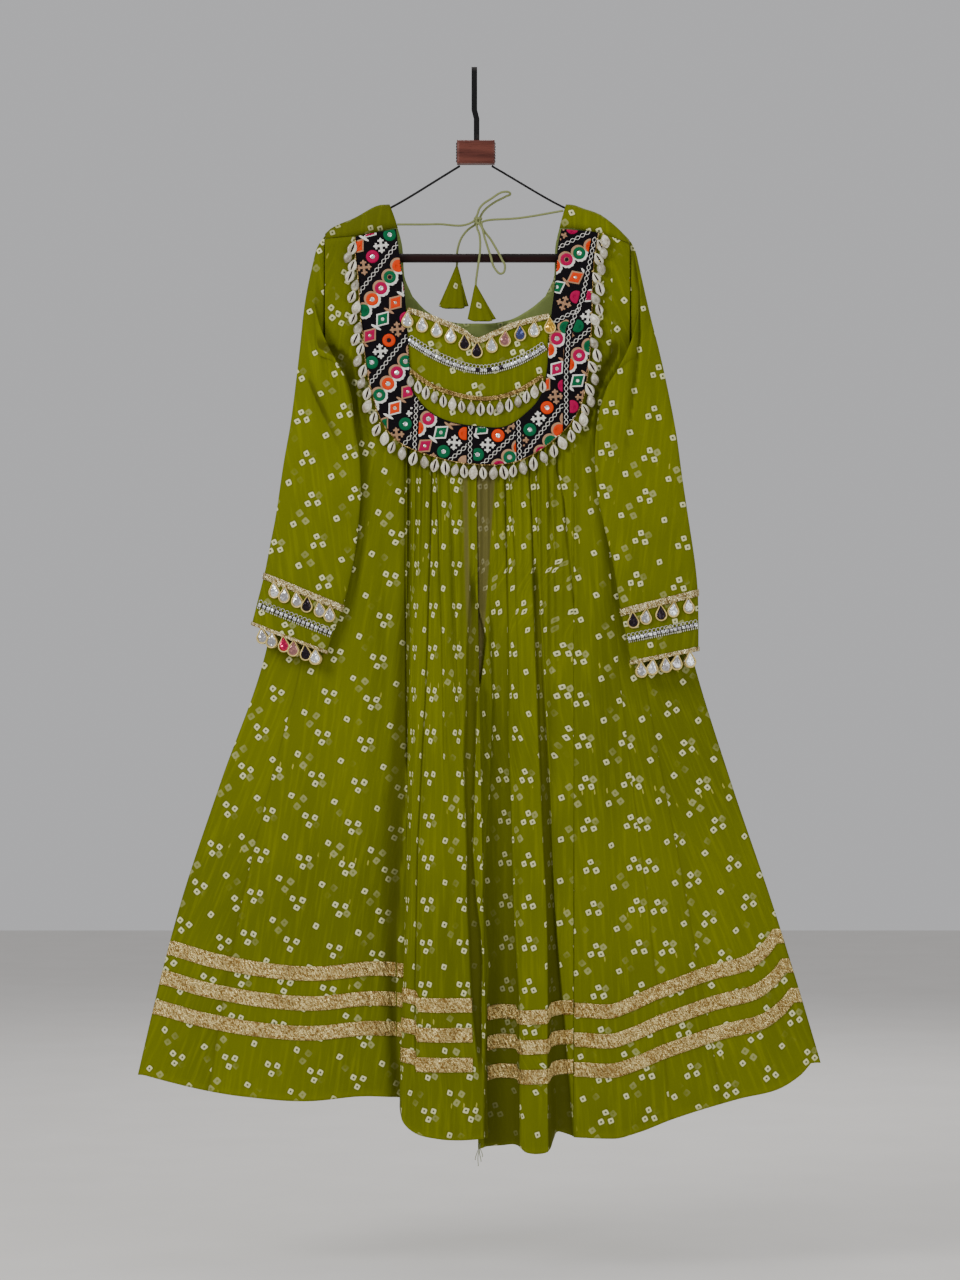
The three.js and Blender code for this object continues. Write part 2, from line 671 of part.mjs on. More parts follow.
// A point on a sleeve: turn 0 is the left edge, 0.25 the middle of the front.
function sleevePoint(table, station, turn) {
  const { leftEdge, rightEdge, half } = sleeveSection(table, station);
  const angle = 2 * Math.PI * turn;
  const p = leftEdge.clone().lerp(rightEdge, (1 - Math.cos(angle)) / 2);
  const bulge = Math.abs(Math.sin(angle)) ** 0.8 * Math.sign(Math.sin(angle));
  p.y -= half * bulge;
  return p;
}

function sleeve(table, stations) {
  const grid = stations.map((station) => {
    const row = [];
    for (let i = 0; i < sleeveRing; i += 1) row.push(sleevePoint(table, station, i / sleeveRing));
    return row;
  });
  return surface(grid, true);
}

// ---- Trims ----

// A mirror drop, hung by its point from a place and turned to lie along a slope of y over x.
function mirrorDrop(place, slope = 0) {
  const outline = new THREE.Shape();
  const radius = drop.width / 2;
  outline.moveTo(0, 0);
  outline.lineTo(-radius, -drop.height * 0.62);
  outline.lineTo(-radius * 0.55, -drop.height);
  outline.lineTo(radius * 0.55, -drop.height);
  outline.lineTo(radius, -drop.height * 0.62);
  const geometry = new THREE.ExtrudeGeometry(outline, { depth: drop.thick, bevelEnabled: false });
  geometry.rotateX(Math.PI / 2);
  geometry.rotateZ(Math.atan(slope));
  geometry.translate(place.x, place.y, place.z);
  return geometry;
}

// A cowrie shell, its length along a direction in the XZ plane.
function cowrie(size, centre, turn) {
  const geometry = new THREE.SphereGeometry(1, 5, 3);
  geometry.scale(size.width / 2, size.height / 2, size.thick / 2);
  geometry.rotateX(Math.PI / 2);
  geometry.rotateY(turn);
  geometry.translate(centre.x, centre.y, centre.z);
  return geometry;
}

// A narrow strip on the front that follows a line of places.
function frontStrip(places, width, lift, thick) {
  const normalAt = (i) => {
    const before = places[Math.max(0, i - 1)];
    const after = places[Math.min(places.length - 1, i + 1)];
    const length = Math.hypot(after.x - before.x, after.z - before.z);
    return { x: (after.z - before.z) / length, z: -(after.x - before.x) / length };
  };
  const grid = [-1, 1].map((side) => places.map((p, i) => {
    const n = normalAt(i);
    const x = p.x + (n.x * side * width) / 2;
    const z = p.z + (n.z * side * width) / 2;
    return front(x, z);
  }));
  return wall(raised(surface(grid), lift + thick), thick);
}

// Even places along a table of x and z.
function placesAlong(table, count) {
  const curve = new THREE.CatmullRomCurve3(table.map((row) => at(row.x, 0, row.z)));
  return curve.getSpacedPoints(count - 1).map((p) => ({ x: p.x, z: p.z }));
}

const onFront = (place, lift) => at(place.x, front(place.x, place.z).y - lift, place.z);

const neckDrops = 11;
const dropHang = 1.5; // from the middle of the neck's tape down to the drops' points

function neckDropTrim() {
  const inner = neckline.slice(1, -1);
  const ends = [{ x: -88, z: -321 }, ...inner, { x: 99, z: -329 }];
  const line = placesAlong(ends, 17);
  const solids = [frontStrip(line, tape, layer, tapeThick)];
  for (const place of placesAlong(ends, neckDrops + 2).slice(1, -1)) {
    const hung = onFront(place, layer);
    hung.z -= dropHang;
    solids.push(mirrorDrop(hung));
  }
  return joined(solids);
}

const neckShells = 16;

function neckShellTrim() {
  const solids = [frontStrip(placesAlong(shellRow, 14), braid.width, layer, braid.thick)];
  for (const place of placesAlong(shellRow, neckShells)) {
    const centre = onFront(place, braid.shellLift + smallShell.thick / 2);
    centre.z -= smallShell.height / 2 + 1;
    solids.push(cowrie(smallShell, centre, 0));
  }
  return joined(solids);
}

// The outer edge of the patchwork band, with the way that points out of the U.
function bandRim(share, out) {
  const here = bandPoint(share, 0);
  const before = bandPoint(Math.max(0, share - 0.01), 0);
  const after = bandPoint(Math.min(1, share + 0.01), 0);
  const length = Math.hypot(after.x - before.x, after.z - before.z);
  const way = { x: (after.z - before.z) / length, z: -(after.x - before.x) / length };
  return { x: here.x + way.x * out, z: here.z + way.z * out, way };
}

const outerShells = 58;
const rimSteps = 30;
const rimEnds = { tape: 0.012, shells: 0.02 }; // shares of the rim that stay bare at each end
const shellOut = { side: 4.2, below: 10 }; // from the rim to the shells' middles
const shellDrop = 6; // how far a shell at the band's side hangs below its stitch
const shellTilt = 0.35; // of a shell at the band's side, away from it
const shellLift = 1.6; // from the cloth to the shells

// The shells hang down from the rim. Those at the band's sides lie beside it.
function outerShellTrim() {
  const line = [];
  for (let i = 0; i <= rimSteps; i += 1) {
    line.push(bandRim(lerp(rimEnds.tape, 1 - rimEnds.tape, i / rimSteps), -rimTape.inset));
  }
  const lift = layer + bandThick + rimTape.lift;
  const solids = [frontStrip(line, rimTape.width, lift, rimTape.thick)];
  for (let k = 0; k < outerShells; k += 1) {
    const share = lerp(rimEnds.shells, 1 - rimEnds.shells, k / (outerShells - 1));
    const { way } = bandRim(share, 0);
    const below = Math.max(0, -way.z);
    const place = bandRim(share, lerp(shellOut.side, shellOut.below, below));
    place.z -= shellDrop * (1 - below);
    const centre = onFront(place, shellLift + shell.thick / 2);
    const turn = Math.atan2(-way.x * shellTilt, 1);
    solids.push(cowrie(shell, centre, turn));
  }
  return joined(solids);
}

// The drops of a cuff tape, on the front and on the back of the sleeve.
function cuffDrops(table, station, count) {
  const solids = [];
  const turnAt = (across) => Math.acos(1 - 2 * across) / (2 * Math.PI);
  for (let k = 0; k < count; k += 1) {
    const across = lerp(0.14, 0.86, k / (count - 1));
    for (const face of [-1, 1]) {
      const pointAt = (share) => {
        const turn = face < 0 ? turnAt(share) : 1 - turnAt(share);
        return sleevePoint(table, station, turn);
      };
      const place = pointAt(across);
      const before = pointAt(across - 0.07);
      const after = pointAt(across + 0.07);
      place.y += face < 0 ? -dropLift : dropLift + drop.thick;
      place.z += 2.5;
      solids.push(mirrorDrop(place, (after.y - before.y) / (after.x - before.x)));
    }
  }
  return solids;
}

// ---- The hanger ----

function polygonPrism(corners, thickness, bevel = 0) {
  const outline = new THREE.Shape(corners.map(([x, y]) => new THREE.Vector2(x, y)));
  const rounded = { bevelSize: bevel, bevelThickness: bevel, bevelOffset: -bevel, bevelSegments: 2 };
  const settings = { depth: thickness - 2 * bevel, bevelEnabled: bevel > 0, ...rounded };
  const geometry = new THREE.ExtrudeGeometry(outline, settings);
  geometry.translate(0, 0, bevel - thickness / 2);
  return geometry;
}

// The hook's strap goes over the bar from behind, and its lower half steps aside to the block.
function hangerHook() {
  const outer = hook.inner + hook.strap;
  const arc = new THREE.Shape();
  arc.moveTo(-outer, hook.kinkTop + hookOverlap.upper);
  arc.lineTo(-outer, -hook.inner);
  arc.absarc(0, -hook.inner, outer, Math.PI, 0, true);
  arc.lineTo(outer, -hook.back);
  arc.lineTo(hook.inner, -hook.back);
  arc.lineTo(hook.inner, -hook.inner);
  arc.absarc(0, -hook.inner, hook.inner, 0, Math.PI, false);
  arc.lineTo(-hook.inner, hook.kinkTop + hookOverlap.upper);
  const settings = { depth: hook.width, bevelEnabled: false, curveSegments: 8 };
  const bent = new THREE.ExtrudeGeometry(arc, settings);
  bent.translate(0, 0, -hook.width / 2);
  bent.rotateX(Math.PI / 2);
  bent.rotateZ(Math.PI / 2);
  const half = hook.width / 2;
  const foot = block.top + touch;
  const head = hook.kinkTop + hookOverlap.lower;
  const lower = polygonPrism([
    [-half, head], [-half, hook.kinkTop], [-half + hook.shift, hook.kinkEnd],
    [-half + hook.shift, foot], [half + hook.shift, foot], [half + hook.shift, hook.kinkEnd],
    [half, hook.kinkTop], [half, head],
  ], hook.strap);
  lower.rotateX(Math.PI / 2);
  lower.translate(0, -hook.inner - hook.strap / 2, 0);
  return joined([bent, lower]);
}

function hangerBlock() {
  const { left, right, top, bottom } = block;
  const corners = [[left, bottom], [right, bottom], [right, top], [left, top]];
  const geometry = polygonPrism(corners, block.depth, block.round);
  geometry.rotateX(Math.PI / 2);
  return geometry;
}

function tube(route, radius, sides, stepLength) {
  const curve = new THREE.CatmullRomCurve3(route.map((p) => at(...p)), false, "centripetal");
  const section = new THREE.Shape();
  for (let k = 0; k < sides; k += 1) {
    const angle = (2 * Math.PI * k) / sides;
    const corner = [radius * Math.cos(angle), radius * Math.sin(angle)];
    if (k === 0) section.moveTo(...corner);
    else section.lineTo(...corner);
  }
  const steps = Math.max(4, Math.round(curve.getLength() / stepLength));
  return new THREE.ExtrudeGeometry(section, { extrudePath: curve, steps, bevelEnabled: false });
}

// A wire from the block to the shoulder, along under the ridge and down into the rod's end.
function hangerWire(side) {
  const under = cloth + wireUnder + wireRadius;
  const ridgePoint = (x) => [x, 0, read(ridge, "x", x, "z") - under];
  const startX = side < 0 ? block.left + wireEnds.inBlock : block.right - wireEnds.inBlock;
  const start = [startX, 0, block.bottom - wireEnds.underBlock];
  const end = side < 0 ? rod.left + wireEnds.inRod : rod.right - wireEnds.inRod;
  const shoulder = side < 0 ? [-113, -140, -161, -180] : [122, 142, 163, 181];
  const rodTop = rod.z + rod.radius;
  const bend = [end + side * 0.5, 0, rodTop + wireEnds.bend];
  const route = [start, ...shoulder.map(ridgePoint), bend, [end, 0, rodTop + touch]];
  return tube(route, wireRadius, 8, 16);
}

function hangerRod() {
  const geometry = new THREE.CylinderGeometry(rod.radius, rod.radius, rod.right - rod.left, 20);
  geometry.rotateZ(Math.PI / 2);
  geometry.translate((rod.left + rod.right) / 2, 0, rod.z);
  return geometry;
}

function latkan(form) {
  const geometry = new THREE.ConeGeometry(1, form.height, 6);
  geometry.scale(form.wide / 2, 1, form.deep / 2);
  geometry.rotateX(Math.PI / 2);
  geometry.translate(0, 0, -form.height / 2);
  const place = geometry.attributes.position;
  for (let k = 0; k < place.count; k += 1) {
    place.setX(k, place.getX(k) - (form.lean * place.getZ(k)) / form.height);
  }
  geometry.translate(form.x, form.y, form.z);
  return geometry;
}

function tieKnot() {
  const geometry = new THREE.SphereGeometry(1, 10, 6);
  geometry.scale(knot.wide / 2, knot.high / 2, knot.deep / 2);
  geometry.rotateX(Math.PI / 2);
  geometry.translate(knot.x, knot.y, knot.z);
  return geometry;
}

// ---- The part ----

const part = new THREE.Group();

function add(name, geometry, colour, roughness = 0.8, metalness = 0) {
  const material = new THREE.MeshStandardMaterial({ color: colour, roughness, metalness });
  const mesh = new THREE.Mesh(geometry, material);
  mesh.name = name;
  part.add(mesh);
}

function addPanel(name, panel) {
  add(name, wall(panel, cloth), colours.green);
}

// The gota bands of one skirt panel, made from the panel's own rows near the hem.
function addGota(name, panel, firstRow, firstColumn = 0) {
  for (let k = 0; k < gota.count; k += 1) {
    const row = firstRow + 2 * k;
    const strip = rowsOf(panel, row, row + 1, firstColumn);
    const geometry = wall(raised(strip, touch + gota.thick), gota.thick);
    add(`gota_${name}_${k + 1}`, geometry, colours.gold, 0.35, 0.8);
  }
}

add("hanger_hook", hangerHook(), colours.metal, 0.4, 0.9);
add("hanger_block", hangerBlock(), colours.walnut, 0.5);
add("hanger_wire_left", hangerWire(-1), colours.metal, 0.4, 0.9);
add("hanger_wire_right", hangerWire(1), colours.metal, 0.4, 0.9);
add("hanger_rod", hangerRod(), colours.rod, 0.45);

add("back_bodice", backBodice(), colours.insideGreen);
const frontSideLeft = sidePanel(leftHem, leftSeam, true);
const frontSideRight = sidePanel(rightHem, rightSeam, false);
const frontGatherLeft = gatheredPanel(leftFolds);
const frontGatherRight = gatheredPanel(rightFolds);
const backSkirtRight = backPanel(1, 0.5);
const backSkirtLeft = backPanel(0.5, 0);
addPanel("front_side_left", frontSideLeft);
addPanel("front_side_right", frontSideRight);
addPanel("front_gather_left", frontGatherLeft);
addPanel("front_gather_right", frontGatherRight);
addPanel("back_skirt_left", backSkirtLeft);
addPanel("back_skirt_right", backSkirtRight);

addGota("side_left", frontSideLeft, sideShares.length - 1);
addGota("side_right", frontSideRight, sideShares.length - 1);
addGota("gather_left", frontGatherLeft, centreShares.length - 1, 1);
addGota("gather_right", frontGatherRight, centreShares.length - 1, 1);
addGota("back_left", backSkirtLeft, backShares.length - 1);
addGota("back_right", backSkirtRight, backShares.length - 1);

addPanel("neck_panel", neckPanel());
add("patchwork_band", patchworkBand(), colours.patch);
add("shell_trim_outer", outerShellTrim(), colours.shell, 0.35);
add("neck_drop_trim", neckDropTrim(), colours.gold, 0.35, 0.7);
const neckChain = frontStrip(placesAlong(mirrorRow, 17), chain.height, layer, chain.thick);
add("neck_mirror_chain", neckChain, colours.mirror, 0.2, 0.6);
add("neck_shell_trim", neckShellTrim(), colours.shell, 0.35);

for (const side of ["left", "right"]) {
  const table = side === "left" ? leftSleeve : rightSleeve;
  const dropCount = side === "left" ? 6 : 5;
  const outside = sleeve(table, sleeveStations);
  const upperStations = [...sleeveStations.slice(0, elbow.row), sleeveStations[elbow.row] - elbow.gap];
  const lower = rowsOf(outside, elbow.row, sleeveStations.length - 1);
  add(`sleeve_upper_${side}`, wall(sleeve(table, upperStations), cloth), colours.green);
  add(`sleeve_lower_${side}`, wall(lower, cloth), colours.green);
  const ringAt = (row, thick) => wall(raised(rowsOf(outside, row, row + 1), touch + thick), thick);
  const tapeWithDrops = (row) => {
    const drops = cuffDrops(table, sleeveStations[row + 1], dropCount);
    return joined([ringAt(row, tapeThick), ...drops]);
  };
  add(`cuff_drops_upper_${side}`, tapeWithDrops(cuff.upperTape), colours.mirror, 0.2, 0.6);
  add(`cuff_chain_${side}`, ringAt(cuff.chain, chain.thick), colours.mirror, 0.2, 0.6);
  add(`cuff_drops_lower_${side}`, tapeWithDrops(cuff.lowerTape), colours.mirror, 0.2, 0.6);
}

for (const [name, route] of Object.entries(doriRoutes)) {
  add(name, tube(route, dori, 8, 9), colours.dori, 0.7);
}
add("tie_knot", tieKnot(), colours.dori, 0.7);
for (const form of latkans) add(form.name, latkan(form), colours.dori, 0.7);

export default part;
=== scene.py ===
# A bandhani kurti on its hanger: sheer olive georgette with tie-dyed dots, a patchwork yoke
# with mirror work and cowries, mirror cuffs, gota bands and a tied dori with two latkans.
# Tables and forms are in millimetres, as in the part's source. Meshes are made in metres.

import math

import bpy
import numpy as np
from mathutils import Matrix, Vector


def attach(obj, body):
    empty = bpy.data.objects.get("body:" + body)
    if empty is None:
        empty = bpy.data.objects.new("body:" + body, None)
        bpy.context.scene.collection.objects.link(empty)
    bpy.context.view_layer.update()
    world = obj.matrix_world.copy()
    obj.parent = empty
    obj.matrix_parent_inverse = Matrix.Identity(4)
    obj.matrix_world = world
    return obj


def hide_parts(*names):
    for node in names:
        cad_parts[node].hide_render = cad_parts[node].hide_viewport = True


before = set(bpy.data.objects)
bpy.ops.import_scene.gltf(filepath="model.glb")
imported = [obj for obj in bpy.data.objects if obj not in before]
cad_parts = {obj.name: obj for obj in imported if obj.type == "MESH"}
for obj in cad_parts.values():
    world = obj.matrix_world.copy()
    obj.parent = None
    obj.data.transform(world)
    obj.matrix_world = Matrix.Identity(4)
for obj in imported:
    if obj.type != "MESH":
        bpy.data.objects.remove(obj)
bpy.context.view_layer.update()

MM = 0.001

# ---- Driving dimensions, as in the part's source ----

CLOTH = 1.2  # thickness of the part's cloth
THIN = 0.7  # thickness of the cloth that shows
SEAM = 0.5  # between two panels
LAYER = 0.8  # between the cloth and what lies on it
SIDE_SEAM = 0.2  # from the middle to the inner face of the front at a side seam
ROLL_DROP = 25  # how far down the shoulders' round reaches
WAIST = -500
BAND_THICK = 1.6
TAPE = 8
DROP = {"width": 15, "height": 22, "thick": 2.6}
SHELL = {"width": 12.6, "height": 19, "thick": 6.4, "lift": 1.6}
SMALL_SHELL = {"width": 11.4, "height": 18, "thick": 5.6}
DORI = 1.5
GOTA = {"width": 19, "pitch": 39, "lowest": 80, "count": 3}
LATTICE = (57.0, 55.0)  # spacing of the dot clusters across and down the cloth
FLOOR_Z, FLOOR_SIZE = -1.60, 12  # in metres
BLOCK = {"left": -23, "right": 27, "top": -96, "bottom": -127, "deep": 20, "turns": 7}
FRAYED = [(-4, 22), (-1.5, 30), (1, 24), (2.5, 18)]  # how far each thread leans and hangs


def table(columns, rows):
    """A table's columns by name."""
    values = np.array(rows, float)
    return {name: values[:, k] for k, name in enumerate(columns.split())}


RIDGE = table("x z", [
    (-199, -221), (-190, -212), (-161, -199), (-112, -180), (121, -180), (142, -185.5),
    (163, -192), (184, -206), (207, -229)])
BODY = table("z left right depth", [
    (-180, -197, 205, 12), (-300, -197, 205, 14), (-366, -197, 205, 15), (-403, -204, 205, 16),
    (-520, -227, 231, 20), (-781, -278, 289, 23), (-943, -335, 339, 25),
    (-1117, -392, 398, 27), (-1430, -468, 492, 29)])
BAND = table("outerX outerZ innerX innerZ", [
    (-157, -224, -103, -214), (-157, -250, -99, -246), (-153, -283, -93, -286),
    (-151, -320, -90, -319), (-147, -355, -88, -352), (-143, -392, -85, -390),
    (-135, -430, -83, -420), (-121, -470, -75, -437), (-97, -497, -62, -452),
    (-62, -512, -43, -464), (-28, -521, -20, -471), (2, -525, 3, -474),
    (35, -525, 33, -476), (65, -518, 52, -469), (98, -498, 69, -456),
    (125, -473, 83, -441), (141, -445, 91, -424), (149, -410, 96, -396),
    (153, -370, 97, -366), (155, -330, 101, -330), (156, -295, 105, -296),
    (158, -260, 108, -262), (162, -234, 110, -236), (164, -219, 115, -214)])
SHOULDER_SEAM = table("x z", [
    (-197, -226.5), (-148.5, -222), (-100, -213), (116, -213), (160.5, -218.5), (205, -233)])
LEFT_SEAM = table("z x", [
    (-223, -151), (-283, -147), (-355, -141), (-392, -137), (-430, -129), (-470, -114),
    (-494, -94), (-515, -91.8), (-660, -91), (-1360, -84.4)])
RIGHT_SEAM = table("z x", [
    (-218, 158), (-260, 152), (-330, 149), (-370, 147), (-410, 143), (-445, 135),
    (-470, 131.4), (-1410, 130.4)])
GATHER_TOP = table("x z", [
    (-92, -493), (-58, -506), (-31, -514), (2, -518), (35, -519), (63, -513), (89, -498),
    (112, -480), (131, -463)])
LEFT_FOLDS = table("topX hemX forward hemZ", [
    (-91.4, -84, 1, -1358), (-85, -91, 7, -1358), (-78, -98, 15, -1364),
    (-69, -93, 23, -1386), (-58, -74, 26, -1402), (-43, -44, 27, -1408),
    (-26, -20, 24, -1410), (-10, 2, 21, -1409), (3, 18, 18, -1408)])
RIGHT_FOLDS = table("topX hemX forward hemZ", [
    (4, 5, 5, -1424), (14, 18, 2, -1421), (24, 36, 1, -1420), (34, 51, 4, -1418),
    (45, 59, 13, -1420), (57, 68, 20, -1426), (70, 85, 22, -1428), (83, 98, 19, -1424),
    (94, 104, 11, -1411), (105, 109, 3, -1402), (118, 119, 0, -1404), (131, 130, 0, -1408)])
# The folds of the front, each a strip that lies back between a left and a right edge, as (z, left,
# right) rows. start and end say how much painted shade it has at its top and its foot, left and
# right how soft its edges are, depth how far it lies back, and hidden the cloth tucked in at each
# edge.
FOLD_COLUMNS = ("start", "end", "left", "right", "depth", "hidden", "rows")
FOLDS = [dict(zip(FOLD_COLUMNS, fold)) for fold in (
    # the recess left of the gathers
    (0.5, 0.85, 9, 0.9, 6, (0, 20), [(-541, -93.9, -83.4), (-623, -92.6, -83.4),
     (-702, -93.9, -84), (-755, -100.5, -84.7), (-834, -104.4, -86), (-913, -109.7, -88),
     (-965, -116.3, -90.6), (-1044, -118.9, -94.6), (-1097, -118.9, -98.5),
     (-1176, -118.9, -100.5), (-1308, -111, -99.2), (-1393, -105.8, -95.2)]),
    # line of the first gather
    (0.85, 0.35, 0.6, 0.5, 1.5, (4, 6), [(-541, -57, -54.8), (-632, -59, -57), (-702, -61, -59.1),
     (-755, -62.3, -60.2), (-834, -64.9, -63.1), (-913, -69.5, -67.3), (-1031, -75.1, -73.2),
     (-1209, -78.4, -76.5), (-1354, -77.4, -75.5)]),
    # line of the second gather
    (0.6, 0.15, 0.8, 0.5, 1.2, (4, 4), [(-541, -50.4, -48.5), (-702, -45.8, -43.9),
     (-755, -43.5, -41.9), (-834, -41.2, -40), (-965, -39.5, -38.6)]),
    # soft gather
    (0.45, 0.2, 2, 0.8, 1.5, (4, 4), [(-541, -36, -32.7), (-623, -32, -28.1),
     (-702, -29.4, -25.4), (-834, -25.4, -21.5), (-952, -17.5, -13.6)]),
    # the slit between the two gathered panels
    (0.5, 0.97, 1.8, 0.6, 5, (14, 14), [(-649, -5.7, -0.4), (-702, -5.7, 2.2), (-755, -9, 16.1),
     (-794, -10.3, 10.1), (-834, -10.3, 3.6), (-913, -13.6, 1.6), (-965, -12.2, 0.3),
     (-1031, -9.6, -1.7), (-1097, -9.6, 2.9), (-1137, -7.6, 8.2), (-1176, -5.7, 10.8),
     (-1229, -3.7, 9.5), (-1308, 4.9, 9.9), (-1360, 9.5, 11.5)]),
    # recess right of the slit
    (0.12, 0.85, 1.6, 0.7, 5, (10, 16), [(-702, 20.7, 43.7), (-755, 21.1, 43.7),
     (-834, 24.6, 44.4), (-886, 23.3, 44.4), (-952, 20.7, 47), (-992, 16.7, 48.3),
     (-1044, 14.1, 49.7), (-1097, 11.5, 51), (-1150, 16.7, 53.6), (-1189, 19.4, 56.2),
     (-1229, 16.7, 58.9), (-1308, 14.1, 58.9), (-1420, 12.8, 59.5)]),
    # its line
    (0.85, 0.25, 0.6, 0.5, 1.5, (3, 5), [(-541, 39.1, 41.2), (-649, 41.7, 43.6),
     (-755, 43.7, 45.7), (-913, 45.7, 47.3)]),
    # thin line beside it
    (0.45, 0.15, 0.6, 0.6, 1, (3, 3), [(-541, 46.4, 48.1), (-649, 52.9, 54.4), (-755, 55.7, 57),
     (-913, 58.9, 59.9)]),
    # line above the right recess
    (0.85, 0.7, 0.6, 0.6, 2, (4, 4), [(-541, 71.1, 73.4), (-597, 74.7, 76.5), (-649, 76, 78),
     (-702, 77, 78.9), (-755, 78.6, 80.6)]),
    # recess at the right of the gathers
    (0.6, 0.9, 0.7, 1.6, 5, (12, 14), [(-630, 78, 79.9), (-689, 78, 84.6), (-755, 79.3, 88.5),
     (-834, 82.6, 92.5), (-886, 83.9, 95.7), (-952, 87.2, 99), (-1031, 90.5, 101.7),
     (-1097, 94.4, 104.3), (-1150, 95.7, 108.3), (-1202, 96.4, 112.9), (-1255, 96.4, 118.1),
     (-1308, 95.7, 122.1), (-1360, 96.4, 126.7), (-1420, 97.1, 131.3)]),
    # twin of its line
    (0.6, 0.4, 0.6, 0.6, 1.2, (3, 3), [(-541, 81, 82.8), (-597, 81.9, 83.9), (-649, 83.4, 85.1),
     (-695, 84.9, 86.3)]),
    # soft line to its right
    (0.45, 0.2, 3, 1.2, 1.5, (4, 4), [(-541, 94.4, 98.4), (-623, 99.7, 103.6),
     (-728, 107.6, 111.5)]),
    # long fold of the right panel
    (0.85, 0.12, 2.2, 0.6, 2.5, (4, 6), [(-531, 107.3, 109.7), (-570, 116.2, 118.4),
     (-623, 120.8, 123), (-676, 126.7, 128.7), (-707, 130.4, 132.1), (-820, 141.8, 143.2)]),
    # long fold of the left sleeve
    (0.95, 0.75, 0.9, 9, 3, (6, 0), [(-402, -224, -219), (-439, -209, -202), (-478, -190.5, -184),
     (-540, -163, -156)]),
    # left armhole
    (0.8, 0.45, 1.4, 3, 2.5, (0, 0), [(-350, -208, -204), (-364, -207, -196), (-372, -205, -174),
     (-384, -184, -162), (-402, -172, -158), (-440, -163, -155), (-480, -158, -149),
     (-540, -152, -146)]),
    (0.5, 0.3, 3, 1, 1.5, (0, 0), [(-384, -156, -151), (-440, -150, -145), (-500, -140, -137),
     (-560, -128, -126)]),
    # right armhole
    (0.85, 0.6, 8, 0.9, 3, (0, 6), [(-222, 203, 207.5), (-294, 214, 218.5), (-360, 214.5, 218.5),
     (-412, 209, 213.5), (-478, 201, 205), (-560, 193, 197)]),
    # pocket in the right armhole
    (0.85, 0.35, 3, 1.4, 3, (0, 0), [(-352, 172, 184), (-366, 179, 190), (-380, 180, 190),
     (-394, 167, 183), (-412, 156, 172), (-438, 149, 162), (-466, 141, 154), (-530, 138, 146)]),
    (0.5, 0.3, 3, 0.8, 1.5, (0, 0), [(-440, 161, 165), (-500, 160, 163.5), (-600, 166, 168)]),
    # soft fold of the right panel
    (0.35, 0.15, 1.5, 0.8, 1.2, (0, 0), [(-656, 150.1, 152.8), (-702, 163.6, 166.2),
     (-768, 176.1, 178.7)]),
)]
# The base lines that the gota bands of the gathers are measured from.
LEFT_GOTA_BASE = table("x z", [(-98, -1387), (-79, -1392), (-76.5, -1400), (18, -1401)])
RIGHT_GOTA_BASE = table("x z", [
    (5, -1418), (36, -1411), (56.5, -1411), (60, -1417), (97, -1416), (103, -1408), (131, -1405)])
LEFT_HEM = table("x z", [
    (-444, -1330), (-422, -1335), (-376, -1345), (-315, -1355), (-224, -1362),
    (-140, -1355), (-84, -1358)])
RIGHT_HEM = table("x z", [
    (130, -1409), (181, -1411), (212, -1403), (259, -1385), (305, -1371), (351, -1359),
    (399, -1349), (438, -1330), (458, -1314)])
BACK_HEM = table("x z", [
    (-444, -1329), (-315, -1349), (-224, -1354), (-99, -1352), (0, -1388), (130, -1396),
    (212, -1392), (305, -1364), (458, -1313)])
NECKLINE = table("x z", [
    (-97, -316), (-69, -327), (-39, -338), (-16, -349), (3, -361), (27, -352), (52, -341),
    (77, -334), (108, -326)])
NECK_LOWER = table("x z", [
    (-97, -402), (-89, -426), (-80, -443), (-65, -458), (-43, -470), (3, -480), (33, -482),
    (54, -475), (73, -461), (88, -445), (98, -425), (108, -394)])
DROP_ROW = table("x z", [
    (-88, -321), (-69, -327), (-39, -338), (-16, -349), (3, -361), (27, -352), (52, -341),
    (77, -334), (99, -329)])
MIRROR_ROW = table("x z", [
    (-85, -361), (-58, -378), (-33, -390), (-8, -398), (17, -400), (50, -392), (77, -379),
    (91, -370)])
SHELL_ROW = table("x z", [
    (-84, -401), (-59, -419), (-29, -431), (-1, -437), (27, -437), (57, -428), (90, -408)])
SCOOP = table("z left right", [
    (-180, -112, 121), (-205, -103, 114), (-238, -95, 107), (-271, -93, 106),
    (-300, -82, 94)])
SCOOP_FLOOR = table("x z", [
    (-82, -300), (-64, -319), (-39, -332), (-14, -336), (17, -336), (44, -332),
    (75, -316), (94, -300)])
SLEEVE_COLUMNS = "leftX leftZ leftY rightX rightZ rightY half"
LEFT_SLEEVE = table(SLEEVE_COLUMNS, [
    (-197.8, -222, 0, -197.8, -362, 0, 13), (-208, -238, -1, -207, -369, -10, 13),
    (-214, -262, -3, -206, -380, -23, 10), (-220, -290, -6, -189, -388, -30, 9),
    (-225, -322, -9, -173, -404, -31, 9), (-229, -362, -12, -162, -432, -30, 10),
    (-235, -415, -14, -157, -478, -31, 9), (-242, -470, -16, -151, -512, -32, 9),
    (-251, -522, -18, -149, -560, -32, 9), (-261, -590, -20, -153, -615, -32, 9),
    (-269, -632, -21, -160, -662, -32, 9), (-276, -668, -22, -172, -711, -32, 9),
    (-285, -704, -22, -184, -744, -32, 9), (-293, -736, -22, -194, -774, -32, 9)])
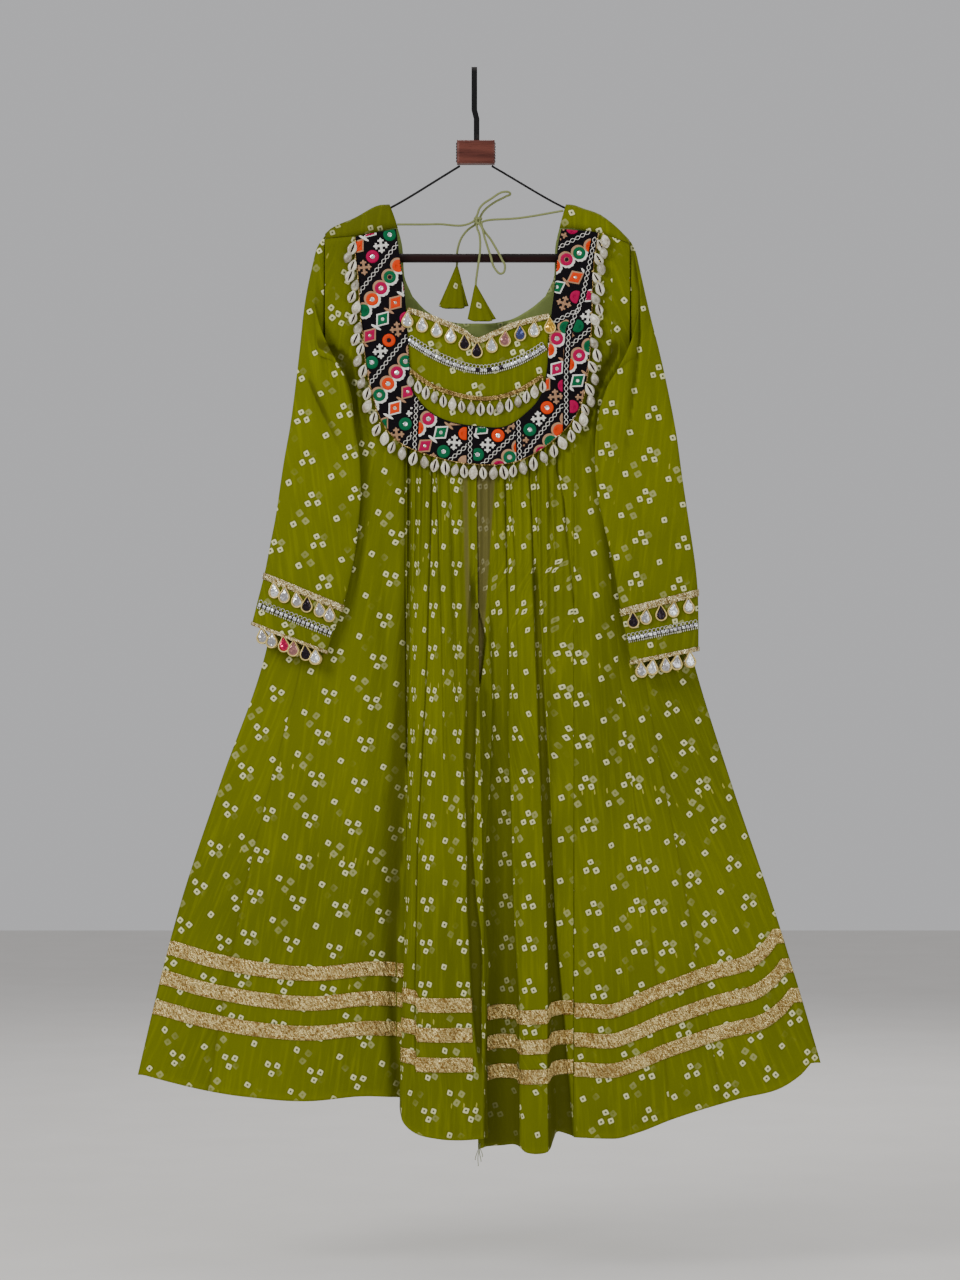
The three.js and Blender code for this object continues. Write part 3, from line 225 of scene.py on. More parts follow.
RIGHT_SLEEVE = table(SLEEVE_COLUMNS, [
    (205.8, -366, 0, 205.8, -228, 0, 13), (214, -372, -10, 213, -242, -1, 13),
    (213, -383, -23, 219, -268, -3, 10), (197, -394, -30, 226, -300, -6, 9),
    (182, -410, -31, 234, -335, -9, 9), (171, -432, -30, 244, -375, -12, 10),
    (161, -470, -31, 255, -425, -14, 9), (158, -515, -32, 266, -483, -16, 9),
    (161, -560, -32, 273, -535, -18, 9), (170, -605, -32, 281, -590, -20, 9),
    (182, -655, -32, 290, -650, -21, 9), (192, -716, -32, 294, -690, -22, 9),
    (199, -750, -32, 295, -730, -22, 9), (206, -788, -32, 295, -770, -22, 9)])
CUFF = {"upper": (10.97, 11.2), "chain": (11.95, 12.29), "lower": (12.79, 13.0)}

TIE_LEFT_RUN = [(-101.7, -14, -208), (-50, -8, -207), (-2.5, -1.5, -203.5)]
TIE_RIGHT_RUN = [(117.3, -10.5, -189.5), (60, -5, -198.5), (12.5, -1.5, -202.5)]
BOW_LOOP_UPPER = [
    (3, -3, -195.8), (8, -3.5, -184), (22, -3, -173), (41, -2.5, -163.5), (47.5, 0, -166),
    (42, 2.5, -169), (25, 3, -178), (13, 2.5, -188), (8.5, 1.5, -195.2)]
BOW_LOOP_LOWER = [
    (9.6, -5, -205.6), (24, -8.5, -231), (36, -10, -253), (40.5, -10.5, -264),
    (36, -11, -272.5), (28, -10.5, -267), (21, -10.5, -248), (14.5, -10.5, -228),
    (7.3, -7, -207.4)]
TIE_LEFT_END = [(1.1, 2.3, -206.9), (-14, 6.5, -219), (-22, 9.3, -238), (-23, 9.3, -258.5)]
TIE_RIGHT_END = [
    (3.3, -3.8, -207.8), (7, -8, -222), (7.5, -9.3, -242), (5, -9.3, -262), (2, -7, -285.5)]
LATKAN_COLUMNS = ("side", "x", "y", "z", "height", "lean", "wide", "deep")
LATKANS = [dict(zip(LATKAN_COLUMNS, form)) for form in (
    ("left", -23, 8.5, -259, 58, -5, 35, 7),
    ("right", 1.5, -7, -286, 49, 8, 33, 9),
)]
KNOT = {"x": 5, "y": -1, "z": -202, "wide": 14, "deep": 11, "high": 11}


# ---- Reading the tables ----

def read(source, along, place, column):
    """A table's column at a place along another column, as a curve that never overshoots."""
    order = np.argsort(source[along])
    x, y = source[along][order], source[column][order]
    gaps = np.diff(x)
    rise = np.diff(y) / gaps
    slope = np.concatenate([rise[:1], np.zeros(len(x) - 2), rise[-1:]])
    same = rise[:-1] * rise[1:] > 0
    first, second = 2 * gaps[1:] + gaps[:-1], gaps[1:] + 2 * gaps[:-1]
    safe = np.where(same, rise[:-1], 1), np.where(same, rise[1:], 1)
    mean = (first + second) / (first / safe[0] + second / safe[1])
    slope[1:-1] = np.where(same, mean, 0)
    place = np.clip(place, x[0], x[-1])
    k = np.clip(np.searchsorted(x, place, side="right") - 1, 0, len(x) - 2)
    t = (place - x[k]) / gaps[k]
    return hermite(y[k], y[k + 1], slope[k] * gaps[k], slope[k + 1] * gaps[k], t)


def hermite(a, b, slope_a, slope_b, t):
    t2, t3 = t * t, t * t * t
    return a * (2 * t3 - 3 * t2 + 1) + slope_a * (t3 - 2 * t2 + t) \
        + b * (3 * t2 - 2 * t3) + slope_b * (t3 - t2)


def through(source, share, column):
    """A table's column at a share of the way through its rows, as a smooth curve."""
    values = source[column]
    place = np.asarray(share, float) * (len(values) - 1)
    k = np.clip(np.floor(place).astype(int), 0, len(values) - 2)

    def value(row):
        return values[np.clip(row, 0, len(values) - 1)]

    slope_a = (value(k + 1) - value(k - 1)) / 2
    slope_b = (value(k + 2) - value(k)) / 2
    return hermite(value(k), value(k + 1), slope_a, slope_b, place - k)


def lerp(a, b, t):
    return a + (b - a) * t


def smooth(value, low, high):
    t = np.clip((value - low) / (high - low), 0, 1)
    return t * t * (3 - 2 * t)


def bump(value, middle, reach):
    """1 at the middle, falling softly to 0 at that reach to both sides."""
    return 1 - smooth(np.abs(value - middle), 0, reach)


def unit(vectors):
    return vectors / np.maximum(np.linalg.norm(vectors, axis=-1, keepdims=True), 1e-9)


def run_along(points):
    """How far along a line of points each of them lies."""
    return np.concatenate([[0], np.cumsum(np.linalg.norm(np.diff(points, axis=0), axis=1))])


def evenly(points, count):
    """Even places along a line of flat points."""
    run = run_along(points)
    even = np.linspace(0, run[-1], count)
    return np.stack([np.interp(even, run, points[:, k]) for k in (0, 1)], -1)


def circle(steps):
    """Even angles all the way round."""
    return np.linspace(0, 2 * math.pi, steps, endpoint=False)


# ---- The body's form ----

def roll(x, z):
    below = np.maximum(0, read(RIDGE, "x", x, "z") - z)
    left = 1 - np.minimum(1, below / ROLL_DROP)
    return np.sqrt(1 - left * left)


def body_edges(z):
    return read(BODY, "z", z, "left"), read(BODY, "z", z, "right")


def depth_at(x, z):
    left, right = body_edges(z)
    side = np.minimum(1, np.abs(2 * (x - left) / (right - left) - 1))
    closing = smooth(-z, 300, 470)
    full = read(BODY, "z", z, "depth") * roll(x, z)
    return SIDE_SEAM + CLOTH + full * (1 - closing * side ** 4)


def front(x, z):
    x, z = np.broadcast_arrays(np.asarray(x, float), np.asarray(z, float))
    return np.stack([x, -depth_at(x, z), z], axis=-1)


def back(x, z):
    return front(x, z) * (1, -1, 1)


def creased(points, creases, inward):
    """Points moved in along y by soft troughs: each a line from a place to a place, a width at
    which it has faded to a third to either side, and a depth. A negative depth is a ridge."""
    moved = points.copy()
    for x0, z0, x1, z1, width, depth in creases:
        start, way = np.array([x0, z0], float), np.array([x1 - x0, z1 - z0], float)
        offset = points[..., [0, 2]] - start
        share = np.clip((offset @ way) / (way @ way), 0, 1)
        aside = np.linalg.norm(offset - share[..., None] * way, axis=-1)
        fade = smooth(share, 0, 0.25) * (1 - smooth(share, 0.75, 1))
        moved[..., 1] += inward * depth * fade * np.exp(-(aside / width) ** 2)
    return moved


FOLD_TOP = (500, 560)  # folds that start this far down come out of the yoke's seam
FOLD_FOOT = 1380  # folds that end below it run out at the hem


def fold_edges(fold, z):
    rows = np.array(fold["rows"], float)
    down = -rows[:, 0]
    left, right = (np.interp(-z, down, rows[:, k]) for k in (1, 2))
    fade = 50 if down[0] > FOLD_TOP[1] else 18
    starts = 1 if FOLD_TOP[0] < down[0] < FOLD_TOP[1] else smooth(-z, down[0], down[0] + fade)
    ends = 1 if down[-1] > FOLD_FOOT else 1 - smooth(-z, down[-1] - 90, down[-1])
    return left, right, starts * ends, np.clip((-z - down[0]) / (down[-1] - down[0]), 0, 1)


def folded(points):
    """Points of the front with its folds laid back, the folds' painted shade with a painted
    highlight along the low ridge past each fold's right edge, and the cloth's extra run across that
    they hide."""
    x, z = points[..., 0], points[..., 2]
    moved, shade, hidden = points.copy(), np.zeros_like(x), np.zeros_like(x)
    for fold in FOLDS:
        left, right, shown, share = fold_edges(fold, z)
        from_left = smooth(x, left - fold["left"], left + fold["left"])
        from_right = smooth(x, right - fold["right"], right + fold["right"])
        inside = from_left * (1 - from_right) * shown
        strength = lerp(fold["start"], fold["end"], share)
        # A low ridge just past the right edge that also carries a painted highlight: its negative
        # shade turns to the light colour.
        crest = bump(x, right + 1.7, 2.0) * shown
        moved[..., 1] += fold["depth"] * inside - 0.7 * crest
        shade = np.maximum(shade, strength * inside) - 0.3 * strength * crest
        hidden += shown * (fold["hidden"][0] * from_left + fold["hidden"][1] * from_right)
    return moved, shade, hidden * MM


# ---- Meshes ----

def normals_of(grid, ring=False):
    """Unit normals of a grid of points. They point into the garment."""
    if ring:
        across = np.roll(grid, -1, axis=1) - np.roll(grid, 1, axis=1)
    else:
        across = np.gradient(grid, axis=1)
    return unit(np.cross(across, np.gradient(grid, axis=0)))


def raised(grid, distance, ring=False):
    return grid - normals_of(grid, ring) * distance


def mesh_object(name, points, faces, materials, uvs=None, face_materials=None, marks=None):
    """An object from points in millimetres. uvs is a pair for each corner of each face, and
    marks are named numbers for each point that its material reads."""
    mesh = bpy.data.meshes.new(name)
    points = np.asarray(points, float).reshape(-1, 3) * MM
    mesh.from_pydata(points.tolist(), [], [list(map(int, f)) for f in faces])
    mesh.polygons.foreach_set("use_smooth", [True] * len(mesh.polygons))
    if uvs is not None:
        layer = mesh.uv_layers.new(name="cloth")
        layer.data.foreach_set("uv", np.asarray(uvs, np.float32).ravel())
    if face_materials is not None:
        mesh.polygons.foreach_set("material_index", np.asarray(face_materials, np.int32))
    for key, values in (marks or {}).items():
        mark = mesh.attributes.new(key, "FLOAT", "POINT")
        mark.data.foreach_set("value", np.asarray(values, np.float32).ravel())
    for material in materials:
        mesh.materials.append(material)
    mesh.update()
    made = bpy.data.objects.new(name, mesh)
    bpy.context.scene.collection.objects.link(made)
    return made


def shell(name, outer, uv, materials, thick=THIN, ring=False, kept=None, gores=None, marks=None):
    """A thin closed shell. outer is a grid of points, and the inner face lies behind it. uv is a
    grid of cloth places in metres for each gore, and gores says which gore a column of cells
    belongs to. kept leaves cells out. The inner face has the last material."""
    rows, columns = outer.shape[:2]
    cells = columns if ring else columns - 1
    inner = outer + normals_of(outer, ring) * thick
    j, i = np.meshgrid(np.arange(rows - 1), np.arange(cells), indexing="ij")
    has = np.ones_like(j, bool) if kept is None else kept(j, i)
    gore_of = np.zeros(cells, int) if gores is None else np.asarray(gores)
    corners, inside = [], []

    def quads(where, *four):
        picked = [np.stack([np.full_like(j, layer), j + dj, i + di, gore_of[i]], -1)[where]
                  for layer, dj, di in four]
        corners.append(np.stack(picked, axis=1))
        inside.append(np.full(int(where.sum()), int(all(layer for layer, _, _ in four))))

    quads(has, (0, 0, 0), (0, 1, 0), (0, 1, 1), (0, 0, 1))
    quads(has, (1, 0, 0), (1, 0, 1), (1, 1, 1), (1, 1, 0))
    above, below, before, after = (np.zeros_like(has) for _ in range(4))
    above[1:] = has[:-1]
    below[:-1] = has[1:]
    before[:, 1:] = has[:, :-1]
    after[:, :-1] = has[:, 1:]
    if ring:
        before[:, 0], after[:, -1] = has[:, -1], has[:, 0]
    quads(has & ~above, (0, 0, 0), (0, 0, 1), (1, 0, 1), (1, 0, 0))
    quads(has & ~below, (0, 1, 1), (0, 1, 0), (1, 1, 0), (1, 1, 1))
    quads(has & ~before, (0, 1, 0), (0, 0, 0), (1, 0, 0), (1, 1, 0))
    quads(has & ~after, (0, 0, 1), (0, 1, 1), (1, 1, 1), (1, 0, 1))
    corner = np.concatenate(corners)
    vertex = corner[..., 0] * rows * columns + corner[..., 1] * columns \
        + corner[..., 2] % columns
    uv = np.asarray(uv)
    uv = uv[None] if uv.ndim == 3 else uv
    places = uv[corner[..., 3], corner[..., 1], corner[..., 2]]
    used, faces = np.unique(vertex, return_inverse=True)
    points = np.concatenate([outer.reshape(-1, 3), inner.reshape(-1, 3)])[used]
    kept_marks = {key: np.tile(np.broadcast_to(value, (rows, columns)).ravel(), 2)[used]
                  for key, value in (marks or {}).items()}
    face_materials = np.concatenate(inside) * (len(materials) - 1)
    return mesh_object(name, points, faces.reshape(vertex.shape), materials, places,
                       face_materials, kept_marks)


def ring_faces(rings, sides, flip=False, looped=False):
    """The faces between rings of points that follow one another, with a cap at each end or,
    looped, on from the last ring to the first. flip turns them inside out."""
    faces = []
    for row in range(rings if looped else rings - 1):
        here, there = row * sides, (row + 1) % rings * sides
        for k in range(sides):
            after = (k + 1) % sides
            quad = [here + k, here + after, there + after, there + k]
            faces.append(quad[:1] + quad[:0:-1] if flip else quad)
    caps = [list(range(sides))[::-1], list(range((rings - 1) * sides, rings * sides))]
    return faces + ([] if looped else [cap[::-1] if flip else cap for cap in caps])


def stand_in(made, slot, *nodes):
    """Hides the part's nodes that a piece takes the place of and attaches the piece to the root
    body. slot is not used.
    """
    if nodes:
        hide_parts(*nodes)
    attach(made, "root")
    return made


def joined(name, parts, materials, slot, *nodes):
    """One object from many (points, faces, material index) parts, with what it stands in for."""
    points, faces, indices, start = [], [], [], 0
    for part_points, part_faces, index in parts:
        points.append(part_points)
        faces.extend([[corner + start for corner in face] for face in part_faces])
        indices.extend([index] * len(part_faces))
        start += len(part_points)
    made = mesh_object(name, np.concatenate(points), faces, materials, face_materials=indices)
    return stand_in(made, slot, *nodes)


# ---- Materials ----

def srgb(red, green, blue):
    """A linear colour from the 0 to 255 values of a screen."""
    def linear(value):
        value /= 255
        return value / 12.92 if value <= 0.04045 else ((value + 0.055) / 1.055) ** 2.4
    return (linear(red), linear(green), linear(blue), 1)


class Finish:
    """A material's node tree, with short ways to add nodes to it."""

    def __init__(self, name, **settings):
        self.material = bpy.data.materials.new(name)
        self.material.use_nodes = True
        self.tree = self.material.node_tree
        self.shader = self.tree.nodes["Principled BSDF"]
        for key, value in settings.items():
            self.shader.inputs[key.replace("_", " ")].default_value = value

    def add(self, kind, inputs=None, **settings):
        made = self.tree.nodes.new("ShaderNode" + kind)
        for key, value in settings.items():
            setattr(made, key, value)
        for key, value in (inputs or {}).items():
            if isinstance(value, bpy.types.NodeSocket):
                self.tree.links.new(value, made.inputs[key])
            else:
                made.inputs[key].default_value = value
        return made

    def math(self, operation, first, second=0.0, third=0.0):
        return self.add("Math", {0: first, 1: second, 2: third}, operation=operation).outputs[0]

    def times(self, first, second):
        return self.math("MULTIPLY", first, second)

    def plus(self, first, second):
        return self.math("ADD", first, second)

    def scaled(self, place, by):
        return self.vector("MULTIPLY", place, by)

    def vector(self, operation, first, second=(0, 0, 0)):
        made = self.add("VectorMath", {0: first, 1: second}, operation=operation)
        return made.outputs[0]

    def between(self, value, low, high, to_low=0.0, to_high=1.0):
        made = self.add("MapRange", {0: value, 1: low, 2: high, 3: to_low, 4: to_high},
                        interpolation_type="SMOOTHSTEP")
        return made.outputs[0]

    def mix(self, share, first, second):
        made = self.add("Mix", {0: share, 6: first, 7: second}, data_type="RGBA")
        return made.outputs[2]

    def noise(self, place, scale, detail=2.0, roughness=0.5):
        made = self.add("TexNoise", {"Vector": place, "Scale": scale, "Detail": detail,
                                     "Roughness": roughness})
        return made.outputs["Fac"]

    def mark(self, name):
        return self.add("Attribute", attribute_name=name).outputs["Fac"]

    def cloth_place(self):
        return self.add("UVMap", uv_map="cloth").outputs[0]

    def object_place(self):
        return self.add("TexCoord").outputs["Object"]

    def wire(self, socket, name):
        self.tree.links.new(socket, self.shader.inputs[name])

    def relief(self, height, distance, strength=1.0):
        made = self.add("Bump", {"Height": height, "Distance": distance, "Strength": strength})
        self.wire(made.outputs[0], "Normal")


DOT_HALF = 0.0036  # half the width of a tied dot
CLUSTER = ((-6.5, 3.8), (6.5, 3.8), (0, -7.5))  # the three dots of a cluster


def dot_distance(finish, place, offsets, turn):
    """How far a place is from the nearest tied dot, in metres, squarish and slightly uneven."""
    nearest = None
    for across, down in offsets:
        shifted = finish.vector("SUBTRACT", place, (across * MM, down * MM, 0))
        scaled = finish.vector("DIVIDE", shifted, (LATTICE[0] * MM, LATTICE[1] * MM, 1))
        cell = finish.add("TexVoronoi", {"Vector": scaled, "Scale": 1.0, "Randomness": 0.0},
                          voronoi_dimensions="2D", feature="F1")
        local = finish.vector("SUBTRACT", scaled, cell.outputs["Position"])
        local = finish.scaled(local, (LATTICE[0] * MM, LATTICE[1] * MM, 0))
        turned = finish.add("VectorRotate", {"Vector": local, "Angle": turn},
                            rotation_type="Z_AXIS").outputs[0]
        split = finish.add("SeparateXYZ", {0: finish.vector("ABSOLUTE", turned)})
        far = finish.math("SMOOTH_MAX", split.outputs[0], split.outputs[1], 0.0028)
        nearest = far if nearest is None else finish.math("MINIMUM", nearest, far)
    return nearest


def bandhani(name, ground, deep, dot, light, shadow, ghost=0.35):
    """Georgette with tied dots: clusters of three, single ones between, a paler print that
    shines through from the layer behind, and a crinkled fine weave."""
    finish = Finish(name, Roughness=0.72, Specular_IOR_Level=0.12)
    place = finish.cloth_place()
    wobble = finish.add("TexNoise", {"Vector": place, "Scale": 55.0, "Detail": 2.0})
    shift = finish.vector("SUBTRACT", wobble.outputs["Color"], (0.5, 0.5, 0.5))
    shift = finish.scaled(shift, (0.0035, 0.0035, 0))
    warped = finish.vector("ADD", place, shift)
    single = (LATTICE[0] / 2, LATTICE[1] / 2)
    far = dot_distance(finish, warped, CLUSTER + (single,), 0.35)
    ghost_place = finish.vector("ADD", warped, (0.019, -0.022, 0))
    behind = dot_distance(finish, ghost_place, CLUSTER[1:] + (single,), 0.6)
    patchy = finish.noise(place, 9.0, 2.0)
    broad = finish.noise(place, 3.2, 3.0)
    streak_place = finish.scaled(place, (60, 4, 1))
    streaks = finish.noise(streak_place, 3.0, 3.0)
    tone = finish.mix(finish.between(broad, 0.3, 0.7), ground, deep)
    tone = finish.mix(finish.between(streaks, 0.45, 0.75, 0.0, 0.35), tone, light)
    ghost_ring = finish.times(finish.between(behind, 0.0046, 0.0036),
                              finish.between(behind, 0.0008, 0.0022, 0.35, 1.0))
    ghost_ring = finish.times(ghost_ring, finish.between(patchy, 0.42, 0.62))
    tone = finish.mix(finish.times(ghost_ring, ghost), tone, dot)
    narrow = finish.scaled(finish.vector("ADD", warped, (0.031, 0.017, 0)), (3.4, 1, 1))
    sliver = finish.between(dot_distance(finish, narrow, [single], 0.3), 0.004, 0.0028)
    sliver = finish.times(sliver, finish.between(patchy, 0.56, 0.62, 0.0, 0.55))
    tone = finish.mix(sliver, tone, srgb(196, 192, 92))
    # A faint painted shadow ring around each dot.
    halo = finish.between(far, DOT_HALF + 0.0022, DOT_HALF + 0.0004, 0.0, 0.35)
    tone = finish.mix(halo, tone, tuple(0.55 * part for part in deep[:3]) + (1,))
    ring = finish.between(far, DOT_HALF + 0.0004, DOT_HALF - 0.0005)
    middle = finish.between(far, 0.0019, 0.0011)
    tone = finish.mix(ring, tone, dot)
    tone = finish.mix(middle, tone, srgb(88, 92, 66))
    # Painted shade and painted highlight: where the shade mark is above 0 the shadow colour is
    # mixed in, and where it is below 0 the light colour.
    mark = finish.mark("shade")
    tone = finish.mix(finish.between(mark, 0.0, 1.0), tone, shadow)
    lit = finish.times(finish.math("MAXIMUM", finish.times(mark, -1.0), 0.0), 1.2)
    tone = finish.mix(lit, tone, light)
    tone = finish.mix(finish.mark("sheer"), tone, srgb(96, 88, 50))
    finish.wire(tone, "Base Color")
    warp = finish.noise(finish.scaled(place, (1800, 500, 1)), 1.0, 1.0)
    weft = finish.noise(finish.scaled(place, (500, 1800, 1)), 1.0, 1.0)
    crinkle = finish.noise(finish.scaled(place, (260, 70, 1)), 1.0, 3.0)
    height = finish.plus(finish.times(warp, 0.3), finish.times(weft, 0.3))
    height = finish.plus(height, finish.times(crinkle, 0.8))
    height = finish.plus(height, finish.between(far, DOT_HALF, 0.0006, 0.0, 1.6))
    finish.relief(height, 0.0006, 0.7)
    rough = finish.between(warp, 0.3, 0.7, 0.66, 0.8)
    finish.wire(rough, "Roughness")
    return finish.material


def foil(name, pale, dark):
    """Crushed gold foil on a woven tape."""
    finish = Finish(name, Metallic=0.9, Roughness=0.4)
    place = finish.object_place()
    slanted = finish.add("VectorRotate", {"Vector": place, "Angle": 0.5},
                         rotation_type="Y_AXIS").outputs[0]
    lines = finish.noise(finish.scaled(slanted, (700, 700, 190)), 1.0, 3.0, 0.7)
    other = finish.noise(finish.scaled(place, (280, 280, 760)), 1.0, 2.0, 0.6)
    broad = finish.noise(place, 36.0, 2.0)
    share = finish.plus(finish.times(lines, 0.6), finish.times(other, 0.4))
    tone = finish.mix(finish.between(share, 0.43, 0.57), pale, dark)
    tone = finish.mix(finish.between(broad, 0.45, 0.7, 0.0, 0.45), tone, dark)
    finish.wire(tone, "Base Color")
    finish.wire(finish.between(other, 0.3, 0.7, 0.2, 0.45), "Roughness")
    crumple = finish.noise(finish.scaled(slanted, (260, 260, 60)), 1.0, 2.0)
    finish.relief(finish.plus(share, finish.times(crumple, 2.0)), 0.003, 1.0)
    return finish.material


def thread(name, colour, roughness=0.6):
    """Embroidery thread, with fine twisted filaments."""
    finish = Finish(name, Roughness=roughness, Specular_IOR_Level=0.12)
    place = finish.object_place()
    fibre = finish.noise(finish.scaled(place, (1, 0.6, 1)), 2600.0, 2.0)
    worn = finish.noise(place, 160.0, 2.0)
    dark = tuple(0.6 * part for part in colour[:3]) + (1,)
    tone = finish.mix(finish.between(fibre, 0.35, 0.65, 0.0, 0.55), colour, dark)
    tone = finish.mix(finish.between(worn, 0.5, 0.8, 0.0, 0.35), tone, dark)
    finish.wire(tone, "Base Color")
    finish.relief(fibre, 0.0002, 0.6)
    return finish.material


def ground_cloth():
    """The black cotton under the embroidery, with a plain weave."""
    finish = Finish("black_cotton", Roughness=0.85, Specular_IOR_Level=0.1)
    place = finish.object_place()
    weave = finish.noise(place, 1900.0, 1.0)
    lint = finish.noise(place, 240.0, 3.0)
    tone = finish.mix(finish.between(weave, 0.35, 0.7), srgb(8, 6, 10), srgb(20, 15, 20))
    tone = finish.mix(finish.between(lint, 0.6, 0.85, 0.0, 0.5), tone, srgb(44, 26, 36))
    finish.wire(tone, "Base Color")
    finish.relief(weave, 0.0005, 0.8)
    return finish.material


def mirror(name, colour, roughness):
    """A small glass mirror, slightly uneven and smudged."""
    finish = Finish(name, Metallic=0.95, Roughness=roughness)
    place = finish.object_place()
    smudge = finish.noise(place, 260.0, 3.0)
    dull = tuple(0.62 * part for part in colour[:3]) + (1,)
    finish.wire(finish.mix(finish.between(smudge, 0.4, 0.75, 0.0, 0.7), colour, dull), "Base Color")
    finish.wire(finish.between(smudge, 0.3, 0.8, roughness, roughness + 0.2), "Roughness")
    finish.relief(finish.noise(place, 150.0, 1.0), 0.004, 0.8)
    return finish.material


def cowrie_shell(name, pale, dark):
    """A glossy shell with growth bands and soft stains."""
    finish = Finish(name, Roughness=0.3, Coat_Weight=0.35, Coat_Roughness=0.15)
    place = finish.object_place()
    stain = finish.noise(place, 120.0, 4.0, 0.6)
    bands = finish.noise(finish.scaled(place, (0.7, 0.7, 3)), 210.0, 2.0)
    tone = finish.mix(finish.between(stain, 0.42, 0.68), pale, dark)
    tone = finish.mix(finish.between(bands, 0.55, 0.75, 0.0, 0.4), tone, srgb(138, 127, 108))
    finish.wire(tone, "Base Color")
    finish.wire(finish.between(stain, 0.3, 0.7, 0.24, 0.42), "Roughness")
    finish.relief(stain, 0.0004, 0.4)
    return finish.material


def painted_metal(name, colour, worn):
    finish = Finish(name, Metallic=0.6, Roughness=0.42, Specular_IOR_Level=0.3)
    place = finish.object_place()
    speck = finish.noise(place, 480.0, 4.0)
    wear = finish.noise(place, 60.0, 3.0)
    finish.wire(finish.mix(finish.between(wear, 0.55, 0.75, 0.0, 0.6), colour, worn), "Base Color")
    finish.wire(finish.between(speck, 0.3, 0.7, 0.34, 0.55), "Roughness")
    finish.relief(speck, 0.0003, 0.5)
    return finish.material


def wood(name, pale, dark, along):
    """Lacquered wood with its grain along an axis."""
    finish = Finish(name, Roughness=0.38, Specular_IOR_Level=0.15)
    place = finish.object_place()
    stretched = finish.scaled(place, tuple(6 if k == along else 90 for k in range(3)))
    grain = finish.noise(stretched, 1.0, 5.0, 0.6)
    pores = finish.noise(finish.scaled(stretched, (9, 9, 9)), 1.0, 2.0)
    tone = finish.mix(finish.between(grain, 0.35, 0.68), pale, dark)
    tone = finish.mix(finish.between(pores, 0.6, 0.75, 0.0, 0.5), tone, srgb(34, 16, 12))
    finish.wire(tone, "Base Color")
    finish.wire(finish.between(grain, 0.3, 0.7, 0.3, 0.48), "Roughness")
    finish.relief(pores, 0.0004, 0.4)
    return finish.material


GREEN = srgb(104, 110, 0)
DEEP_GREEN = srgb(93, 99, 0)
# Of each georgette: ground, deep, dot, a lighter colour for streaks and the painted highlight, and
# the painted shade's colour.
cloth_finish = bandhani("bandhani_georgette", GREEN, DEEP_GREEN, srgb(216, 216, 160),
                        srgb(132, 138, 4), srgb(72, 74, 0))
lining_finish = bandhani("georgette_wrong_side", srgb(122, 134, 76), srgb(108, 120, 62),
                         srgb(150, 158, 104), srgb(140, 150, 92), srgb(60, 66, 30), 0.12)
gota_finish = foil("crushed_gota", srgb(255, 232, 160), srgb(146, 112, 50))
tape_finish = foil("gold_tape", srgb(252, 238, 188), srgb(140, 116, 64))
braid_finish = foil("dull_gold_braid", srgb(214, 184, 118), srgb(110, 84, 40))
gold_finish = painted_metal("gilt_rim", srgb(216, 194, 122), srgb(156, 130, 70))
silver_finish = painted_metal("silver_wire", srgb(214, 212, 200), srgb(120, 116, 104))
pewter_finish = painted_metal("pewter", srgb(60, 58, 54), srgb(26, 26, 24))
MIRRORS = {
    "bright": (240, 243, 245, 0.06), "pale": (196, 194, 196, 0.12), "dark": (52, 44, 50, 0.08),
    "rose": (186, 132, 128, 0.1), "red": (212, 44, 92, 0.1), "blue": (84, 92, 142, 0.08),
    "amber": (226, 178, 70, 0.1),
}
mirror_finishes = {tint: mirror(f"mirror_{tint}", srgb(*colour), roughness)
                   for tint, (*colour, roughness) in MIRRORS.items()}
shell_finishes = [
    cowrie_shell("cowrie_ivory", srgb(222, 217, 196), srgb(168, 156, 130)),
    cowrie_shell("cowrie_grey", srgb(172, 166, 146), srgb(112, 104, 84)),
]
# Painted shade for the hollow inside each shell's opening, made with the thread's finish.
slit_shade_finish = thread("cowrie_slit_shade", srgb(30, 20, 14), 0.7)
THREADS = {"magenta": (176, 0, 74), "emerald": (0, 100, 60), "orange": (228, 62, 0),
           "beige": (178, 138, 106), "white": (240, 238, 230)}
threads = {name: thread(f"thread_{name}", srgb(*colour)) for name, colour in THREADS.items()}
black_finish = ground_cloth()
metal_finish = painted_metal("black_metal", srgb(26, 25, 26), srgb(60, 54, 50))
walnut_finish = wood("walnut", srgb(110, 62, 52), srgb(78, 40, 34), 0)
rod_finish = wood("dark_rod", srgb(36, 14, 14), srgb(16, 5, 5), 0)
dori_finish = thread("dori_cord", srgb(134, 140, 92))
floor_finish = Finish("studio_floor", Roughness=0.8)
floor_finish.wire(floor_finish.mix(floor_finish.noise(floor_finish.object_place(), 6.0, 4.0),
                                   srgb(214, 211, 206), srgb(224, 221, 217)), "Base Color")


# ---- Camera ----

CAMERA = {"x": 7.5, "y": -5000, "z": -755.6, "height": 1686, "plane": -16}
camera_data = bpy.data.cameras.new("camera")
camera_data.sensor_fit = "VERTICAL"
camera_data.sensor_height = 36
camera_data.lens = 36 * (CAMERA["plane"] - CAMERA["y"]) / CAMERA["height"]
camera = bpy.data.objects.new("camera", camera_data)
camera.location = Vector((CAMERA["x"], CAMERA["y"], CAMERA["z"])) * MM
camera.rotation_euler = (math.radians(90), 0, 0)
bpy.context.scene.collection.objects.link(camera)
bpy.context.scene.camera = camera


# ---- The dori: two cords, each from the neck through the knot and its bow to a latkan ----

